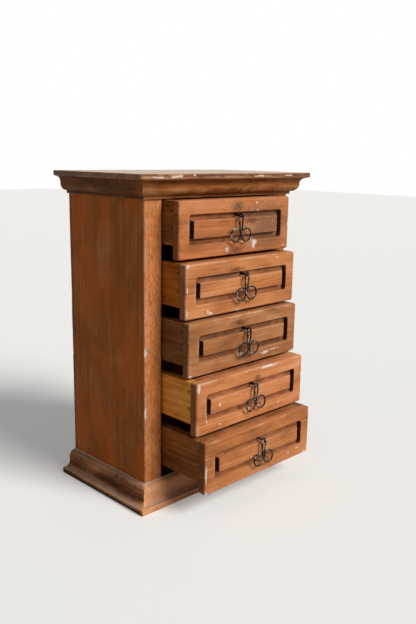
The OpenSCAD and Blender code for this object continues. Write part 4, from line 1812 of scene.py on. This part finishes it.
@dataclass
class Drawer:
    """One drawer: its front, box, pins, eye and pull."""

    level: int
    shape: FrontShape = field(default_factory=FrontShape)
    eye: PullEye = field(default_factory=PullEye)
    pull: RingPull = field(default_factory=RingPull)
    side_arris: float = 0.9 * MM
    side_end_arris: float = 0.35 * MM
    back_arris: float = 0.6 * MM
    back_end_arris: float = 0.2 * MM
    front_bevel: float = 0.3 * MM
    pin_behind_lip: float = 3.2 * MM
    pin_drops: tuple[float, float] = (10.0 * MM, 28.0 * MM)
    floor_rise: float = 4.0 * MM
    floor_pin_offset: float = 40.0 * MM

    def build(
        self, floor_wood: bpy.types.Material, iron: bpy.types.Material,
        pin_iron: bpy.types.Material,
    ) -> None:
        """Makes the drawer's pieces.

        Args:
            floor_wood: Wood of the bottom.
            iron: Iron of the eye and the pull.
            pin_iron: Iron of the pins.
        """
        n, name = self.level, f"drawer_{self.level}"
        low, high = (np.array(corner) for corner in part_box(name + "_front"))
        inner_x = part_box(name + "_side_right")[0].x
        marks = face_marks(FRONT_MARKS[n], (low[0], 0.0, high[2]))
        front = self.shape.skin(low, high, inner_x, 20 + n)
        front_wood = FRONT_WOODS[n].material(f"_{n}", marks=marks)
        make_piece(
            name + "_front_board", front, name, front_wood, name + "_front",
            soften=self.front_bevel,
        )
        joint_y = low[1] + self.shape.lip
        box_wood = BOX_WOODS[n].material(f"_{n}", marks=self._box_marks(joint_y, high[2]))
        for index, node in enumerate((name + "_side_left", name + "_side_right")):
            side = board(node, Along.Y, self.side_arris, self.side_end_arris, 5 * n + index)
            make_piece(node + "_board", side, name, box_wood, node)
        back = board(name + "_back", Along.X, self.back_arris, self.back_end_arris, 5 * n + 3)
        make_piece(name + "_back_board", back, name, box_wood, name + "_back")
        dress(name + "_bottom", floor_wood)
        pins = self._pins(joint_y + self.pin_behind_lip, high[2])
        make_piece(name + "_pin_heads", pins, name, pin_iron, name + "_pins")
        eye = self.eye.skin(low[1], high[2], high[1] - low[1], 40 + n)
        make_piece(f"pull_eye_{n}_wire", eye, name, iron, f"pull_eye_{n}")
        self.pull.build(n, self.eye, low[1], high[2], iron)

    def _box_marks(self, joint_y: float, top: float) -> tuple[Mark, ...]:
        """Soot round the front pins of the sides, and along their joint with the front.

        Args:
            joint_y: Where the sides meet the back of the front's lip.
            top: The front's top, from which the pins are measured down.

        Returns:
            The marks.
        """
        pin_y = joint_y + self.pin_behind_lip
        rings = tuple(
            Mark(MarkKind.SOOT, (0.0, pin_y, top - drop), (0.0, 2.2 * MM, 1.7 * MM))
            for drop in self.pin_drops
        )
        return (*rings, Mark(MarkKind.SOOT, (0.0, joint_y, 0.0), (0.0, 1.5 * MM, 0.0)))

    def _pins(self, front_y: float, top: float) -> Skin:
        """The pins through both ends of the sides, and up through the bottom panel.

        Args:
            front_y: Where the front pins are.
            top: The front's top, from which they are measured down.

        Returns:
            The surface of them all.
        """
        name = f"drawer_{self.level}"
        back_low, back_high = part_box(name + "_back")
        side_low, side_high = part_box(name + "_side_right")
        back_y = (back_low.y + back_high.y) / 2.0
        rows = [
            ((hand * side_high.x, y, top - drop), (hand, 0.0, 0.0))
            for hand in (-1.0, 1.0)
            for y in (front_y, back_y)
            for drop in self.pin_drops
        ]
        floor_z = side_low.z + self.floor_rise
        rows += [
            ((hand * self.floor_pin_offset, back_y, floor_z), (0.0, 0.0, -1.0))
            for hand in (-1.0, 1.0)
        ]
        places, axes = (np.array(column) for column in zip(*rows))
        return Pins().skin(places, axes)


# ---- The studio ----


WHITE = (1.0, 1.0, 1.0, 1.0)
"""Colour of the sky and of the floor's own glow."""


@dataclass
class Studio:
    """Pale floor, soft light and the camera."""

    camera_place: Triple = (-0.55733, -0.60458, 0.36762)
    heading: float = 44.92
    pitch: float = -12.42
    roll: float = 0.95
    lens: float = 40.94
    floor_half: float = 6.0
    floor_seen: Colour = (0.90, 0.90, 0.89)
    floor_cast: Colour = (0.46, 0.45, 0.44)
    floor_glow: float = 0.16
    sky: float = 0.16
    sun: float = 3.0
    sun_from: Triple = (0.22, -0.78, 0.60)
    sun_width: float = 28.0
    sun_colour: Colour = (1.0, 0.985, 0.96)

    def build(self) -> None:
        """Makes the floor, the lamp, the world and the camera."""
        self._floor()
        self._world()
        self._sun()
        self._camera()

    def _floor(self) -> None:
        """A large pale plane that shows paler than the light that it throws back."""
        half = self.floor_half
        mesh = bpy.data.meshes.new("floor")
        corners = [(-half, -half, 0.0), (half, -half, 0.0), (half, half, 0.0), (-half, half, 0.0)]
        mesh.from_pydata(corners, [], [(0, 1, 2, 3)])
        g = Graph(bpy.data.materials.new("pale_floor"))
        cloud = g.noise(g.add("TexCoord", {}).outputs["Object"], Waves.FLOOR, 4.0)
        seen = g.seen()
        mesh.materials.append(
            g.surface(
                g.blend(seen, self.floor_cast, self.floor_seen),
                g.fade(cloud, 0.3, 0.7, 0.8, 0.9), cloud, 0.05 * MM, Emission_Color=WHITE,
                Emission_Strength=g.calc("MULTIPLY", seen, self.floor_glow),
            )
        )
        floor = bpy.data.objects.new("floor", mesh)
        bpy.context.scene.collection.objects.link(floor)

    def _world(self) -> None:
        """Soft sky that shows as plain white where it is seen or mirrored."""
        world = bpy.data.worlds.new("studio")
        bpy.context.scene.world = world
        g = Graph(world)
        strength = g.weighed(self.sky, (g.seen(), 1.0 - self.sky))
        sky = g.add("Background", {"Color": WHITE, "Strength": strength})
        g.add("OutputWorld", {"Surface": sky.outputs["Background"]})

    def _sun(self) -> None:
        """One wide soft lamp from the front, above and a little to the right."""
        lamp = bpy.data.lights.new("window", "SUN")
        lamp.energy = self.sun
        lamp.angle = math.radians(self.sun_width)
        lamp.color = self.sun_colour
        window = bpy.data.objects.new("window", lamp)
        bpy.context.scene.collection.objects.link(window)
        window.rotation_euler = Vector(self.sun_from).to_track_quat("Z", "Y").to_euler()

    def _camera(self) -> None:
        """The camera, turned by its heading from +Y towards +X, its pitch and its roll."""
        a, p, r = (math.radians(x) for x in (self.heading, self.pitch, self.roll))
        ahead = np.array([math.sin(a) * math.cos(p), math.cos(a) * math.cos(p), math.sin(p)])
        right = np.cross(ahead, [0.0, 0.0, 1.0])
        right /= np.linalg.norm(right)
        up = np.cross(right, ahead)
        rolled_right = right * math.cos(r) + up * math.sin(r)
        rolled_up = up * math.cos(r) - right * math.sin(r)
        turned = Matrix(np.array([rolled_right, rolled_up, -ahead]).T.tolist())
        data = bpy.data.cameras.new("camera")
        data.lens = self.lens
        data.clip_start = 0.01
        data.clip_end = 50.0
        camera = bpy.data.objects.new("camera", data)
        bpy.context.scene.collection.objects.link(camera)
        camera.matrix_world = Matrix.Translation(self.camera_place) @ turned.to_4x4()
        bpy.context.scene.camera = camera


def main() -> None:
    """Builds the cabinet and its studio."""
    logging.basicConfig(level=logging.INFO, format="%(name)s: %(message)s")
    Studio().build()
    Carcass().build()
    floor_wood = PANEL_WOOD.material("_drawer_bottoms", Along.X)
    iron, pin_iron = PULL_IRON.material(), PIN_IRON.material()
    for level in DRAWERS:
        Drawer(level).build(floor_wood, iron, pin_iron)
    bpy.context.scene.view_settings.view_transform = "Standard"


if __name__ == "__main__":
    main()
